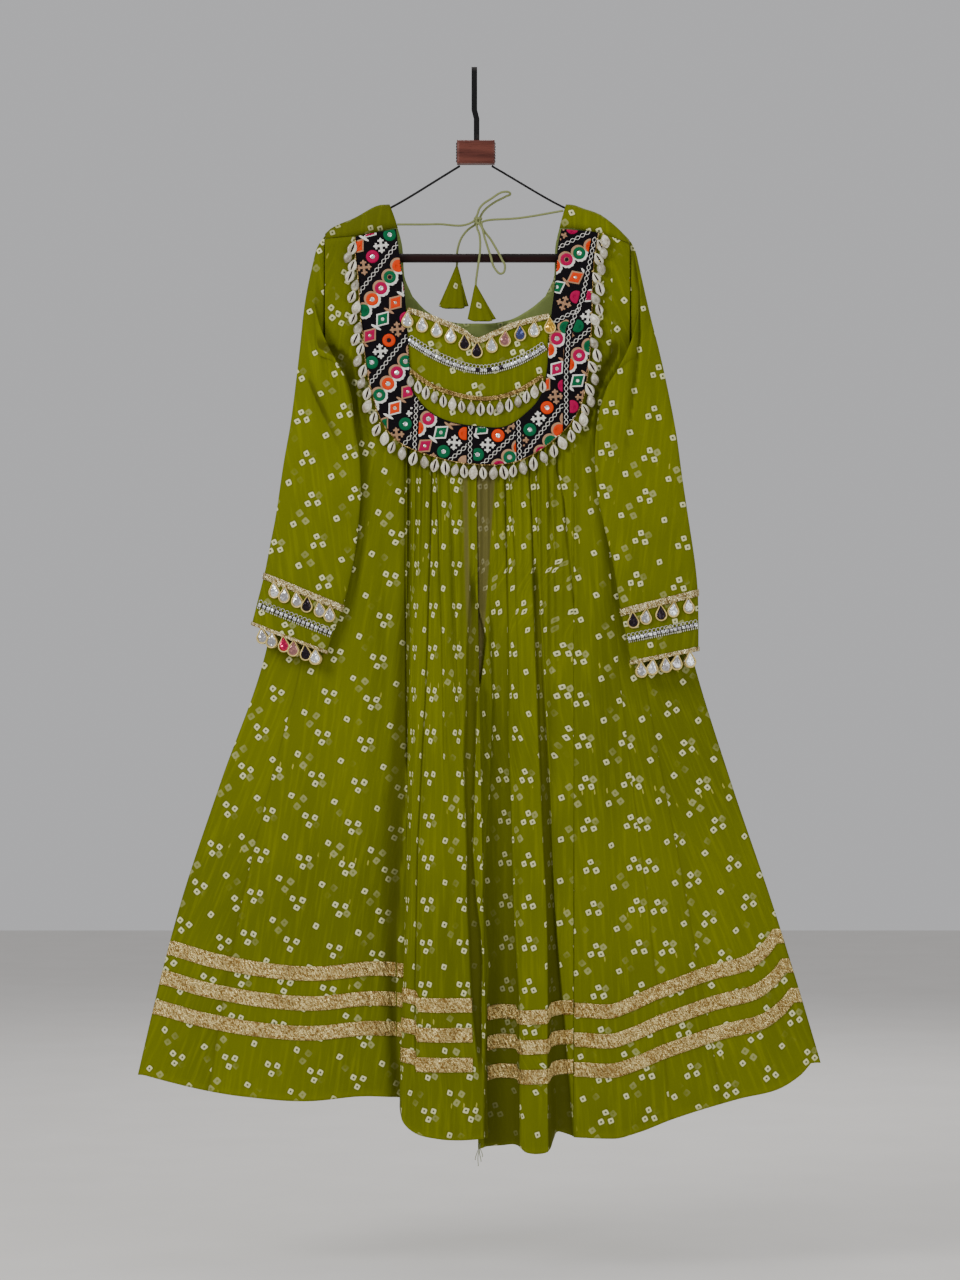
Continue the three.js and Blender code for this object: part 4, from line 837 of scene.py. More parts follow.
def cord_curve(name, route, radius, finish):
    curve = bpy.data.curves.new(name, "CURVE")
    curve.dimensions = "3D"
    curve.bevel_depth = radius * MM
    curve.bevel_resolution = 3
    curve.resolution_u = 10
    curve.use_fill_caps = True
    spline = curve.splines.new("BEZIER")
    spline.bezier_points.add(len(route) - 1)
    for point, place in zip(spline.bezier_points, route):
        point.co = Vector(place) * MM
        point.handle_left_type = point.handle_right_type = "AUTO"
    curve.materials.append(finish)
    made = bpy.data.objects.new(name, curve)
    bpy.context.scene.collection.objects.link(made)
    return made


def spun(profile, sides):
    """A closed form from (radius, z) pairs round the z axis."""
    angles = circle(sides)
    points = [np.stack([radius * np.cos(angles), radius * np.sin(angles),
                        np.full(sides, float(z))], -1) for radius, z in profile]
    return np.concatenate(points), ring_faces(len(profile), sides)


def latkan(form):
    """A hanging tassel of folded cloth, wider and pleated towards its open lower end."""
    rows, sides = 26, 72
    angle = circle(sides)
    share = np.linspace(0.03, 1, rows)[:, None]
    pleats = 1 + 0.12 * share * np.sin(7 * angle + 0.6) + 0.05 * share * np.sin(13 * angle)
    width = form["wide"] / 2 * share ** 0.9 * pleats
    depth = form["deep"] / 2 * (0.35 + 0.65 * share) * pleats
    low = form["height"] * (share * (1 - 0.06 * np.cos(2 * angle) * share))
    x = form["x"] + width * np.cos(angle) + form["lean"] * share
    y = form["y"] + depth * np.sin(angle) + 0 * share
    z = form["z"] - np.minimum(low, form["height"])
    grid = np.stack([x, y, z], -1)[:, ::-1]
    around = np.linspace(0, 2 * form["wide"] * MM, sides + 1)
    uv = np.stack(np.broadcast_arrays(around + 0.013, share * form["height"] * MM), -1)
    # The whole latkan is darkened with painted shade.
    made = shell(f"latkan_cloth_{form['side']}", grid, uv, [cloth_finish], 0.6, ring=True,
                 marks={"shade": 0.35, "sheer": 0.0})
    return stand_in(made, "bandhani_georgette", f"latkan_{form['side']}")


def knot():
    """The bow's knot: two wraps of cord."""
    turns, steps, sides = 2.3, 90, 8
    t = np.linspace(0, 1, steps)
    angle = 2 * math.pi * turns * t
    middle = np.array([KNOT["x"], KNOT["y"], KNOT["z"]], float)
    line = middle + np.stack([
        (KNOT["wide"] / 2 - 2.6) * np.cos(angle) * (0.8 + 0.2 * np.sin(3 * angle)),
        (KNOT["deep"] / 2 - 1.9) * np.sin(angle),
        (KNOT["high"] / 2 - 2.0) * np.sin(1.5 * angle + 0.7)], -1)
    points, faces = tube_mesh(line, 1.8, sides)
    made = mesh_object("dori_knot", points, faces, [dori_finish])
    return stand_in(made, "tie_cord", "tie_knot")


def tube_mesh(line, radius, sides):
    """A closed tube of round sections along a line of points."""
    way = unit(np.gradient(line, axis=0))
    up = np.array([0.31, 0.22, 0.93])
    aside = unit(np.cross(way, up))
    over = np.cross(aside, way)
    angles = circle(sides)
    ring = aside[:, None] * np.cos(angles)[:, None] + over[:, None] * np.sin(angles)[:, None]
    points = (line[:, None] + radius * ring).reshape(-1, 3)
    return points, ring_faces(len(line), sides, flip=True)


left_latkan, right_latkan = (latkan(form) for form in LATKANS)
bow_knot = knot()
# Each cord runs on a little way into its latkan, where it is sewn in.
SEWN_LEFT, SEWN_RIGHT = [(-24, 8.8, -268)], [(1.8, -7, -293)]
DORI_CORDS = [
    ("dori_left", TIE_LEFT_RUN + BOW_LOOP_UPPER + TIE_RIGHT_END + SEWN_RIGHT, 0.324,
     right_latkan, ("tie_left_run", "bow_loop_upper", "tie_right_end")),
    ("dori_right", TIE_RIGHT_RUN + BOW_LOOP_LOWER + TIE_LEFT_END + SEWN_LEFT, 0.348,
     left_latkan, ("tie_right_run", "bow_loop_lower", "tie_left_end")),
]
for cord_name, cord_route, cord_length, cord_latkan, cord_nodes in DORI_CORDS:
    dori = stand_in(cord_curve(cord_name, cord_route, DORI, dori_finish), "tie_cord", *cord_nodes)


# ---- Cloth panels: each is a form of shares across and down, between 0 and 1 ----

# Columns and rows of points of each kind of panel. A sleeve's columns go all the way round.
GRID = {"side": (74, 205), "gathers": (160, 185), "back": (84, 132), "neck": (90, 60),
        "sleeve": (104, 132)}


def shares(columns, rows):
    return np.meshgrid(np.linspace(0, 1, columns), np.linspace(0, 1, rows))


def cloth_piece(name, nodes, grid, uv, flat, area, held, rests_on, **settings):
    settings.setdefault("materials", [cloth_finish])
    made = shell(name, grid, uv, **settings)
    stand_in(made, "bandhani_georgette", *nodes)
    return made


LEFT_CREASES = [
    (-115, -560, -128, -1330, 16, 5), (-150, -700, -165, -1340, 22, -3),
    (-175, -760, -215, -1345, 24, 3.5), (-120, -500, -112, -900, 8, 2.5),
    (-232, -860, -290, -1330, 26, -3), (-250, -900, -345, -1340, 20, 3),
    (-300, -1000, -400, -1330, 24, -3), (-143, -520, -150, -780, 9, -2),
    (-190, -560, -205, -840, 14, -2.5), (-98, -900, -103, -1350, 7, 3),
    (-168, -470, -190, -640, 12, 2.5), (-150, -430, -172, -540, 8, -2),
    (-192, -1160, -252, -1240, 16, 2), (-330, -1120, -350, -1300, 14, -2)]
RIGHT_CREASES = [
    (150, -560, 170, -1390, 18, -4), (176, -640, 225, -1380, 20, 4),
    (222, -760, 275, -1370, 22, -3.5), (150, -900, 146, -1400, 10, 4),
    (250, -820, 330, -1350, 22, 3.5), (280, -860, 390, -1340, 24, -3.5),
    (310, -980, 430, -1320, 20, 3), (139, -480, 141, -800, 6, 3),
    (160, -500, 175, -760, 10, -2), (190, -540, 215, -800, 12, 2.5),
    (205, -1180, 255, -1250, 14, 2.5), (345, -1130, 372, -1310, 14, 2)]


# Of each side panel: its tables, the shares of its width that have a gore's seam, and for each
# gore the turn of its dots and the place across that they turn about.
SIDES = {
    "left": {"seam": LEFT_SEAM, "hem": LEFT_HEM, "creases": LEFT_CREASES, "gores": [0.27],
             "turns": [0.38, 0.15], "middles": [-0.27, -0.16]},
    "right": {"seam": RIGHT_SEAM, "hem": RIGHT_HEM, "creases": RIGHT_CREASES,
              "gores": [0.37, 0.57], "turns": [-0.06, -0.2, -0.38],
              "middles": [0.15, 0.22, 0.32]},
}


def side_form(edge):
    on_left = edge == "left"
    inner, hem, creases = (SIDES[edge][key] for key in ("seam", "hem", "creases"))

    def place(across, z):
        share = across if on_left else 1 - across
        return lerp(read(BODY, "z", z, edge), read(inner, "z", z, "x"), share)

    def form(across, down):
        top = read(SHOULDER_SEAM, "x", place(across, -226.0), "z") - SEAM / 2
        low = read(hem, "x", place(across, -1360.0), "z")
        z = lerp(top, low, down)
        x = place(across, z)
        points = creased(front(x, z), creases, 1)
        ease = smooth(-z, 480, 700) * smooth(across if on_left else 1 - across, 0, 0.12)
        points[..., 1] += 0.9 * ease * np.sin(x / 13 + z / 210) * np.sin(x / 31 - z / 160)
        return folded(points)[0], top, low

    return form


def gathered_form(folds, finer):
    """finer is (count, phase) of the small pleats that run out of the yoke's seam."""
    def form(across, down):
        top_x = through(folds, across, "topX")
        hem_x = through(folds, across, "hemX")
        top = read(GATHER_TOP, "x", top_x, "z")
        hem = through(folds, across, "hemZ")
        z = lerp(top, hem, down)
        x = lerp(top_x, hem_x, down ** 1.3)
        forward = through(folds, across, "forward") * smooth(down, 0.02, 0.45)
        ripple = (1 - np.cos(2 * math.pi * 4 * across)) / 2
        gathered = 2.4 * ripple * (1 - smooth(down, 0, 0.3))
        count, phase = finer
        pleats = np.sin(2 * math.pi * count * across + phase + 1.2 * np.sin(5 * across + phase))
        fine = 1.5 * pleats * (1 - smooth(down, 0.02, 0.42 + 0.15 * np.sin(9 * across + phase)))
        long_wave = 1.7 * np.sin(2 * math.pi * count / 2.4 * across + 2 * phase)
        fine = fine + long_wave * smooth(down, 0.05, 0.5) * bump(across, 0.5, 0.55)
        edge = smooth(across, 0, 0.03) * (1 - smooth(across, 0.97, 1))
        points = front(x, z)
        points[..., 1] += gathered - forward + fine * edge
        return folded(points)[0], top, hem

    return form


BACK_CREASES = [
    (-60, -560, -90, -1360, 20, 4), (-160, -600, -210, -1350, 24, -4),
    (60, -560, 80, -1380, 22, -4), (150, -620, 190, -1390, 22, 4),
    (240, -800, 320, -1360, 26, -4), (-250, -820, -330, -1340, 26, 4),
    (20, -520, 18, -900, 10, 2.5), (-110, -510, -120, -800, 10, 2.5),
    (110, -510, 122, -820, 10, -2.5), (-20, -540, -30, -1300, 14, -3)]


def back_form(from_share, to_share):
    def form(across, down):
        share = lerp(from_share, to_share, across)
        aside = SEAM / 2 * (1 if from_share > 0.5 else -1) * (np.abs(share - 0.5) < 1e-6)

        def place(z):
            return lerp(*body_edges(z), share) + aside

        hem = read(BACK_HEM, "x", place(np.full_like(share, -1350.0)), "z")
        top = WAIST - SEAM
        z = lerp(top, hem, down)
        x = place(z)
        points = back(x, z)
        wave = (1 - np.cos(2 * math.pi * 6 * share)) / 2
        points[..., 1] += 8 * wave * smooth((WAIST - z) / (WAIST - hem), 0.05, 0.9)
        points = creased(points, BACK_CREASES, -1)
        pleats = np.sin(2 * math.pi * 34 * share + 2 * np.sin(9 * share))
        points[..., 1] += 1.3 * (pleats + 1) * (1 - smooth(down, 0, 0.3)) * smooth(down, 0, 0.02)
        return points, top, hem

    return form


GOTA_COLUMNS = np.linspace(0.002, 0.998, 130)  # of a band that runs all across its panel


def gota_strips(name, form, columns, base=None):
    """The three gota bands of a panel, made from the panel's own form and lifted off it. They
    follow its hem, or a base line."""
    _, top, hem = form(*np.meshgrid(columns, np.array([0.5])))
    x_at_hem = form(*np.meshgrid(columns, np.array([0.95])))[0][..., 0]
    foot = hem if base is None else read(base, "x", x_at_hem, "z")
    for k in range(GOTA["count"]):
        lower = GOTA["lowest"] + k * GOTA["pitch"]
        heights = np.linspace(lower + GOTA["width"], lower, 9)[:, None]
        down = (foot + heights - top) / (hem - top)
        across = np.broadcast_to(columns, down.shape)
        grid, _, _ = form(across, down)
        rows, count = down.shape
        run = np.arange(count) * 2.9 + 1.7 * k
        step = np.arange(rows)[:, None]
        crush = 0.12 * np.sin(run + step * 1.9) + 0.1 * np.sin(run * 1.73 + step * 2.7)
        grid = raised(grid, 0.3 + 0.8)
        grid[1:-1] += crush[1:-1, :, None] * normals_of(grid)[1:-1]
        uv = np.stack(np.broadcast_arrays(across, down), -1)
        number = GOTA["count"] - k
        stand_in(shell(f"gota_band_{name}_{number}", grid, uv, [gota_finish], 0.6),
                 "gota_tape", f"gota_{name}_{number}")


def gore_columns(seams, cells):
    """Shares across for the columns of a panel, one of them on each seam, and each cell's gore."""
    edges = [0.0] + list(seams) + [1.0]
    columns, gores = [], []
    for gore, (low, high) in enumerate(zip(edges[:-1], edges[1:])):
        steps = max(2, int(round(cells * (high - low))))
        columns.extend(np.linspace(low, high, steps, endpoint=False))
        gores.extend([gore] * steps)
    return np.array(columns + [1.0]), gores


def hem_painted_highlight(down):
    """Painted highlight along the turned edge of a hem, a little lighter than the cloth."""
    return 0.45 * smooth(down, 0.993, 1.0)


def side_panel(side):
    form = side_form(side)
    on_left = side == "left"
    seam_shares = SIDES[side]["gores"]
    across, gores = gore_columns(seam_shares, GRID["side"][0])
    a, d = np.meshgrid(across, np.linspace(0, 1, GRID["side"][1]))
    grid, _, _ = form(a, d)
    _, fold_shade, _ = folded(grid)
    x, z = grid[..., 0] * MM, grid[..., 2] * MM
    uvs = []
    for turn, middle in zip(SIDES[side]["turns"], SIDES[side]["middles"]):
        u = (x - middle) * math.cos(turn) - (z + 1.0) * math.sin(turn)
        v = (x - middle) * math.sin(turn) + (z + 1.0) * math.cos(turn)
        uvs.append(np.stack([u, v if on_left else -v], -1))
    seam_mark = sum(bump(a, share, 0.006) for share in seam_shares) * smooth(d, 0.3, 0.4)
    # Painted shade over the upper left panel, towards the shoulder.
    shoulder_painted_shade = 0.4 * (1 - smooth(-grid[..., 2], 250, 400)) if on_left else 0
    # The shade mark: the gore seams' own darker line, painted shade in the folds and at the left
    # shoulder, less the hem's painted highlight.
    shade = np.clip(0.4 * seam_mark + fold_shade + shoulder_painted_shade - hem_painted_highlight(d), -0.5, 1)
    cloth_piece(f"front_panel_{side}", [f"front_side_{side}"], grid, uvs, flat=(0.40, 1.20),
                area=0.24, held="hung", rests_on=[f"hanger_wire_{side}"], gores=gores,
                marks={"shade": shade, "sheer": 0.0})
    gota_strips(f"side_{side}", form, GOTA_COLUMNS)


def gathered_panel(side, folds, finer, sheer_of, cut, flip, gota_columns, base):
    form = gathered_form(folds, finer)
    a, d = shares(*GRID["gathers"])
    grid, _, _ = form(a, d)
    _, shade, hidden = folded(grid)
    shade = shade - hem_painted_highlight(d)
    u = np.broadcast_to(run_along(grid[-1]) * MM, a.shape) * lerp(0.9, 1.0, d) + hidden
    v = grid[..., 2] * MM * (1 if flip else -1)
    uv = np.stack([u, v], -1)
    cloth_piece(f"front_gathers_{side}", [f"front_gather_{side}"], grid, uv, flat=cut,
                area=cut[0] * cut[1], held="gathered", rests_on=["patchwork_band"],
                marks={"shade": shade, "sheer": sheer_of(grid)})
    gota_strips(f"gather_{side}", form, gota_columns, base)


# Where the cloth of the gathers shows what is under it, between 0 and 1.
def left_sheer(grid):
    x, z = grid[..., 0], grid[..., 2]
    middle = lerp(-12.0, -6.0, smooth(-z, 540, 800))
    return 0.75 * bump(x, middle, 6.5) * (1 - smooth(-z, 690, 790))


def right_sheer(grid):
    x, z = grid[..., 0], grid[..., 2]
    right = np.interp(-z, [546, 774, 860], [27, 11, 3])
    return 0.8 * (1 - smooth(x, right - 2, right + 2)) * (1 - smooth(-z, 830, 880))


side_panel("left")
side_panel("right")
gathered_panel("left", LEFT_FOLDS, (10, 0.4), left_sheer, (0.15, 0.89), True,
               np.linspace(0.25, 0.86, 80), LEFT_GOTA_BASE)
gathered_panel("right", RIGHT_FOLDS, (12, 1.3), right_sheer, (0.17, 0.91), False,
               np.linspace(0.09, 0.998, 100), RIGHT_GOTA_BASE)

BACK_TURNS = {"left": 0.11, "right": -0.15, "yoke": 0.05}


def turned_uv(grid, turn):
    """Cloth places of a panel of the back, with its dots turned and a little out of line."""
    x, z = -grid[..., 0] * MM, (grid[..., 2] + grid[..., 1] * 0.2) * MM
    x = x + 0.006 * np.sin(9 * z + 5 * x)
    z = z + 0.007 * np.sin(11 * x - 4 * z)
    return np.stack([x * math.cos(turn) + z * math.sin(turn),
                     z * math.cos(turn) - x * math.sin(turn)], -1)


for side_name, ends in (("right", (1.0, 0.5)), ("left", (0.5, 0.0))):
    skirt_form = back_form(*ends)
    a, d = shares(*GRID["back"])
    skirt, _, _ = skirt_form(a, d)
    back_uv = turned_uv(skirt, BACK_TURNS[side_name])
    middle_seam = bump(lerp(*ends, a), 0.5, 0.008)
    cloth_piece(f"back_panel_{side_name}", [f"back_skirt_{side_name}"], skirt, back_uv,
                flat=(0.47, 0.90), area=0.315, held="gathered", rests_on=["back_bodice"],
                marks={"shade": 0.4 * middle_seam, "sheer": 0.0})
    gota_strips(f"back_{side_name}", skirt_form, GOTA_COLUMNS)


# ---- The back bodice with the shoulders ----

def back_bodice():
    strap, open_columns = 14, 34
    right = [("right", share) for share in np.linspace(0, 1, strap + 1)]
    middle = [("scoop", share) for share in np.linspace(0, 1, open_columns + 1)[1:-1]]
    left = [("left", share) for share in np.linspace(1, 0, strap + 1)]
    columns = right + middle + left
    floor_z = -300.0
    left_x, right_x = (float(read(SCOOP, "z", floor_z, side)) for side in ("left", "right"))

    def x_at(column, z):
        side, share = column
        if side == "scoop":
            return lerp(right_x, left_x, share)
        edge = float(read(BODY, "z", z, side))
        return lerp(edge, float(read(SCOOP, "z", max(z, floor_z), side)), share)

    def ridge_of(column):
        return float(read(RIDGE, "x", x_at(column, -200.0), "z"))

    def seam_of(column):
        return float(read(SHOULDER_SEAM, "x", x_at(column, -213.0), "z")) + SEAM

    def floor_of(column):
        if column[0] == "scoop":
            return float(read(SCOOP_FLOOR, "x", x_at(column, floor_z), "z"))
        return floor_z

    rows = []
    for share in np.linspace(0, 1, 7)[:-1]:
        levels = [lerp(seam_of(c), ridge_of(c), 1 - (1 - share) ** 2) for c in columns]
        rows.append([front(x_at(c, z), z) for c, z in zip(columns, levels)])
    rows.append([np.array([x_at(c, ridge_of(c)), 0, ridge_of(c)]) for c in columns])
    for share in np.linspace(0, 1, 26)[1:] ** 1.5:
        levels = [floor_of(c) if c[0] == "scoop" else lerp(ridge_of(c), floor_z, share)
                  for c in columns]
        rows.append([back(x_at(c, z), z) for c, z in zip(columns, levels)])
    scoop_row = len(rows) - 1
    for share in np.linspace(0, 1, 44)[1:]:
        levels = [lerp(floor_of(c), WAIST, share) for c in columns]
        rows.append([back(x_at(c, z), z) for c, z in zip(columns, levels)])
    grid = np.array(rows)
    uv = turned_uv(grid, BACK_TURNS["yoke"])

    def kept(j, i):
        return ~((j < scoop_row) & (i >= strap) & (i < strap + open_columns))

    # Painted shade over the front of the left shoulder.
    left_shoulder_painted_shade = smooth(-grid[..., 0], 60, 110) * smooth(-grid[..., 1], 0, 4)
    marks = {"shade": 0.5 * left_shoulder_painted_shade, "sheer": 0.0}
    cloth_piece("back_yoke", ["back_bodice"], grid, uv, flat=(0.41, 0.36), area=0.105,
                held="hung", rests_on=["hanger_wire_left", "hanger_wire_right"],
                kept=kept, marks=marks, materials=[cloth_finish, lining_finish])


back_bodice()


# ---- The front's neck panel ----

NECK_CREASES = [
    (-60, -345, -30, -400, 7, 1.2), (60, -350, 30, -410, 7, 1.2), (-20, -440, 30, -446, 8, 1.0),
    (0, -365, 4, -392, 5, -0.8), (-70, -400, -50, -450, 6, -1.0), (75, -395, 60, -450, 6, -1.0)]


def neck_panel():
    a, d = shares(*GRID["neck"])
    x = lerp(NECKLINE["x"][0], NECKLINE["x"][-1], a)
    z = lerp(read(NECKLINE, "x", x, "z"), read(NECK_LOWER, "x", x, "z"), d)
    grid = creased(front(x, z), NECK_CREASES, 1)
    uv = np.stack([grid[..., 0] * MM, -grid[..., 2] * MM + 0.012], -1)
    cloth_piece("neck_cloth", ["neck_panel"], grid, uv, flat=(0.205, 0.13), area=0.0245,
                held="hung", rests_on=["patchwork_band"], marks={"shade": 0.0, "sheer": 0.0})


neck_panel()


# ---- Sleeves ----

def sleeve_point(sleeve, station, turn):
    """Points on a sleeve: turn 0 is the left edge, 0.25 the middle of the front."""
    share = station / (len(sleeve["half"]) - 1)
    value = {key: through(sleeve, share, key) for key in sleeve}
    angle = 2 * math.pi * turn
    across = (1 - np.cos(angle)) / 2
    x = lerp(value["leftX"], value["rightX"], across)
    y = lerp(value["leftY"], value["rightY"], across)
    z = lerp(value["leftZ"], value["rightZ"], across)
    bulge = np.abs(np.sin(angle)) ** 0.8 * np.sign(np.sin(angle))
    return np.stack(np.broadcast_arrays(x, y - value["half"] * bulge, z), -1)


LEFT_SLEEVE_CREASES = [
    (-205, -358, -178, -448, 5, 4.5), (-216, -430, -172, -520, 7, 3),
    (-208, -300, -214, -390, 9, 2.5), (-228, -400, -200, -520, 9, -2),
    (-238, -500, -190, -600, 9, 2.5), (-170, -470, -165, -590, 6, 2.5),
    (-250, -560, -215, -660, 8, -2), (-190, -600, -205, -720, 8, 2.0),
    (-222, -340, -224, -430, 6, 2)]
RIGHT_SLEEVE_CREASES = [
    (208, -215, 219, -300, 4, 3), (218, -300, 216, -372, 4, 3), (214, -372, 205, -478, 4, 3),
    (176, -430, 214, -520, 8, 3), (236, -380, 250, -520, 8, 2.5), (180, -500, 235, -610, 9, 2.5),
    (262, -520, 240, -640, 9, -2), (200, -600, 235, -700, 8, 2.0), (270, -600, 278, -720, 8, 2)]


def sleeve_grid(sleeve, creases, stations, ring):
    turns = np.arange(ring) / ring
    t, s = np.meshgrid(turns, stations)
    grid = sleeve_point(sleeve, s, t)
    to_front = np.clip(np.sin(2 * math.pi * t), -1, 1)[..., None]
    sunk, shade, _ = folded(grid)
    moved = creased(grid, creases, 1) - grid + (sunk - grid) * (to_front > 0)
    fade = (1 - smooth(s, 10.4, 10.9)) * smooth(s, 0.3, 1.2)
    return grid + moved * to_front * fade[..., None], shade * smooth(to_front[..., 0], 0, 0.3)


def sleeve(side, source, creases):
    ring, rows = GRID["sleeve"]
    stations = np.linspace(0, len(source["half"]) - 1, rows)
    grid, shade = sleeve_grid(source, creases, stations, ring)
    tilt = 0.13 if side == "left" else -0.11
    closed = np.concatenate([grid, grid[:, :1]], axis=1)
    u = (closed[..., 0] * math.cos(tilt) + closed[..., 2] * math.sin(tilt)) * MM
    v = (closed[..., 0] * math.sin(tilt) - closed[..., 2] * math.cos(tilt)) * MM
    uvs = [np.stack([u, v + 0.01], -1), np.stack([2 * u.mean() - u, v + 0.01], -1)]
    gores = np.arange(ring) // (ring // 2)
    nodes = [f"sleeve_upper_{side}", f"sleeve_lower_{side}"]
    cloth_piece(f"sleeve_cloth_{side}", nodes, grid, uvs, flat=(0.24, 0.56), area=0.10,
                held="hung", rests_on=["back_bodice"], ring=True, gores=gores,
                marks={"shade": shade, "sheer": 0.0})


sleeve("left", LEFT_SLEEVE, LEFT_SLEEVE_CREASES)
sleeve("right", RIGHT_SLEEVE, RIGHT_SLEEVE_CREASES)


# ---- Small pieces of trim, in their own frame: x across, z up, y into the cloth ----

def placed(points, centre, turn=0.0, lean=0.0, size=1.0):
    """Points turned in the plane of the front, leaned about z, scaled and moved."""
    c, s = math.cos(turn), math.sin(turn)
    x, y, z = (np.asarray(points) * size).T
    x, z = c * x + s * z, c * z - s * x
    c, s = math.cos(lean), math.sin(lean)
    x, y = c * x - s * y, s * x + c * y
    return np.stack([x, y, z], -1) + np.asarray(centre)


def part(form, index, *place):
    """A form of points and faces, placed, as a part of a piece with one material."""
    return (placed(form[0], *place), form[1], index)


def cowrie_width(t):
    """How wide a shell is from its top, 0, to its foot, 1: a drop that is fullest low down."""
    return np.sin(math.pi * np.clip(t, 0.015, 0.985) ** 1.2) ** 0.64


def cowrie_form(size, faces_front):
    """A shell with its long axis along z. The side with the slit is flatter, and grooved."""
    rings, sides = 12, 20
    share = (1 - np.cos(np.linspace(0, math.pi, rings))) / 2
    phi = circle(sides)
    points = []
    for t in share:
        width = float(cowrie_width(t))
        x = width * np.cos(phi) * size["width"] / 2
        y = width * np.sin(phi) * size["thick"] / 2
        slit_side = np.sin(phi) < -0.01 if faces_front else np.sin(phi) > 0.01
        groove = np.where(slit_side, 0.6 * np.exp(-(x / 1.2) ** 2) * math.sin(math.pi * t), 0)
        y = y * np.where(slit_side, 0.75, 1.0) * (1 - groove)
        points.append(np.stack([x, y, np.full(sides, (0.5 - t) * size["height"])], -1))
    return np.concatenate(points), ring_faces(rings, sides, flip=True)


def slit_form(size, faces_front):
    """The dark opening of a shell, a lens with a toothed edge that lies in its groove: a dark sheet
    of painted shade for the hollow inside.
    """
    side = -1 if faces_front else 1
    steps = 17
    t = np.linspace(0.14, 0.9, steps)
    along = (0.5 - t) * size["height"]
    half = 1.15 * np.sin(math.pi * (t - 0.08) / 0.9) ** 0.7 + 0.22 * (np.arange(steps) % 2)
    depth = side * size["thick"] / 2 * 0.72 * cowrie_width(t)
    outer = np.stack([np.stack([s * half, depth * 0.8, along], -1) for s in (-1, 1)], 1)
    inner = outer * (1, 0.5, 1)
    points = np.concatenate([outer.reshape(-1, 3), inner.reshape(-1, 3)])
    faces, low = [], 2 * steps
    for k in range(steps - 1):
        a, b, c, d = 2 * k, 2 * k + 1, 2 * k + 3, 2 * k + 2
        faces += [[a, b, c, d], [low + d, low + c, low + b, low + a],
                  [a, d, low + d, low + a], [c, b, low + b, low + c]]
    faces += [[1, 0, low, low + 1], [2 * steps - 2, 2 * steps - 1, low + 2 * steps - 1,
                                     low + 2 * steps - 2]]
    return points, faces


def bead_form(radius, sides=8, rings=5):
    profile = [(max(0.05, radius * math.sin(t)), radius * math.cos(t))
               for t in np.linspace(0.05, math.pi - 0.05, rings)]
    return spun(profile, sides)


def drop_outline(steps, grow=0.0):
    """A drop from its point at the top, as (x, z) pairs, grown outwards by a margin: a round
    foot with two straight sides that meet at the point."""
    radius = DROP["width"] / 2 - 0.9
    centre = -(DROP["height"] - radius - 1.1)
    meeting = math.acos(min(1.0, radius / (-centre - 0.6)))
    angles = np.linspace(math.pi / 2 - meeting, -3 * math.pi / 2 + meeting, steps - 1)
    x = np.concatenate([[0.0], (radius + grow) * np.cos(angles)])
    z = np.concatenate([[-0.6 + 1.5 * grow], centre + (radius + grow) * np.sin(angles)])
    return np.stack([x, z], -1)


def drop_parts(centre, turn, lean, tint):
    """A mirror drop: a faceted glass in a gilt rim, hung by its point."""
    outline = drop_outline(22)
    middle = np.array([0.0, -0.62 * DROP["height"]])
    front_y, back_y = -DROP["thick"] + 0.5, -0.3
    rows = [(1.0, back_y), (1.0, front_y + 0.6), (0.62, front_y), (0.02, front_y - 0.1)]
    points = [np.insert(middle + (outline - middle) * s, 1, y, axis=1) for s, y in rows]
    faces = [face[::-1] for face in ring_faces(len(rows), len(outline))]
    rim_line = np.insert(drop_outline(26, 0.4), 1, -DROP["thick"] / 2 - 0.1, axis=1)
    return [part((np.concatenate(points), faces), tint, centre, turn, lean),
            part(ring_mesh(rim_line, 1.05, 6), RIM_INDEX, centre, turn, lean)]


def ring_mesh(line, radius, sides):
    """A closed tube along a closed line of points that lies in a plane of constant y."""
    way = unit(np.roll(line, -1, axis=0) - np.roll(line, 1, axis=0))
    over = np.array([0.0, 1.0, 0.0])
    aside = np.cross(way, over)
    angles = circle(sides)
    ring = aside[:, None] * np.cos(angles)[:, None] + over * np.sin(angles)[:, None]
    points = (line[:, None] + radius * ring).reshape(-1, 3)
    return points, ring_faces(len(line), sides, flip=True, looped=True)


def places_along(source, count):
    """Even places along a table of x and z, as a smooth line."""
    fine = np.linspace(0, 1, 400)
    return evenly(np.stack([through(source, fine, "x"), through(source, fine, "z")], -1), count)


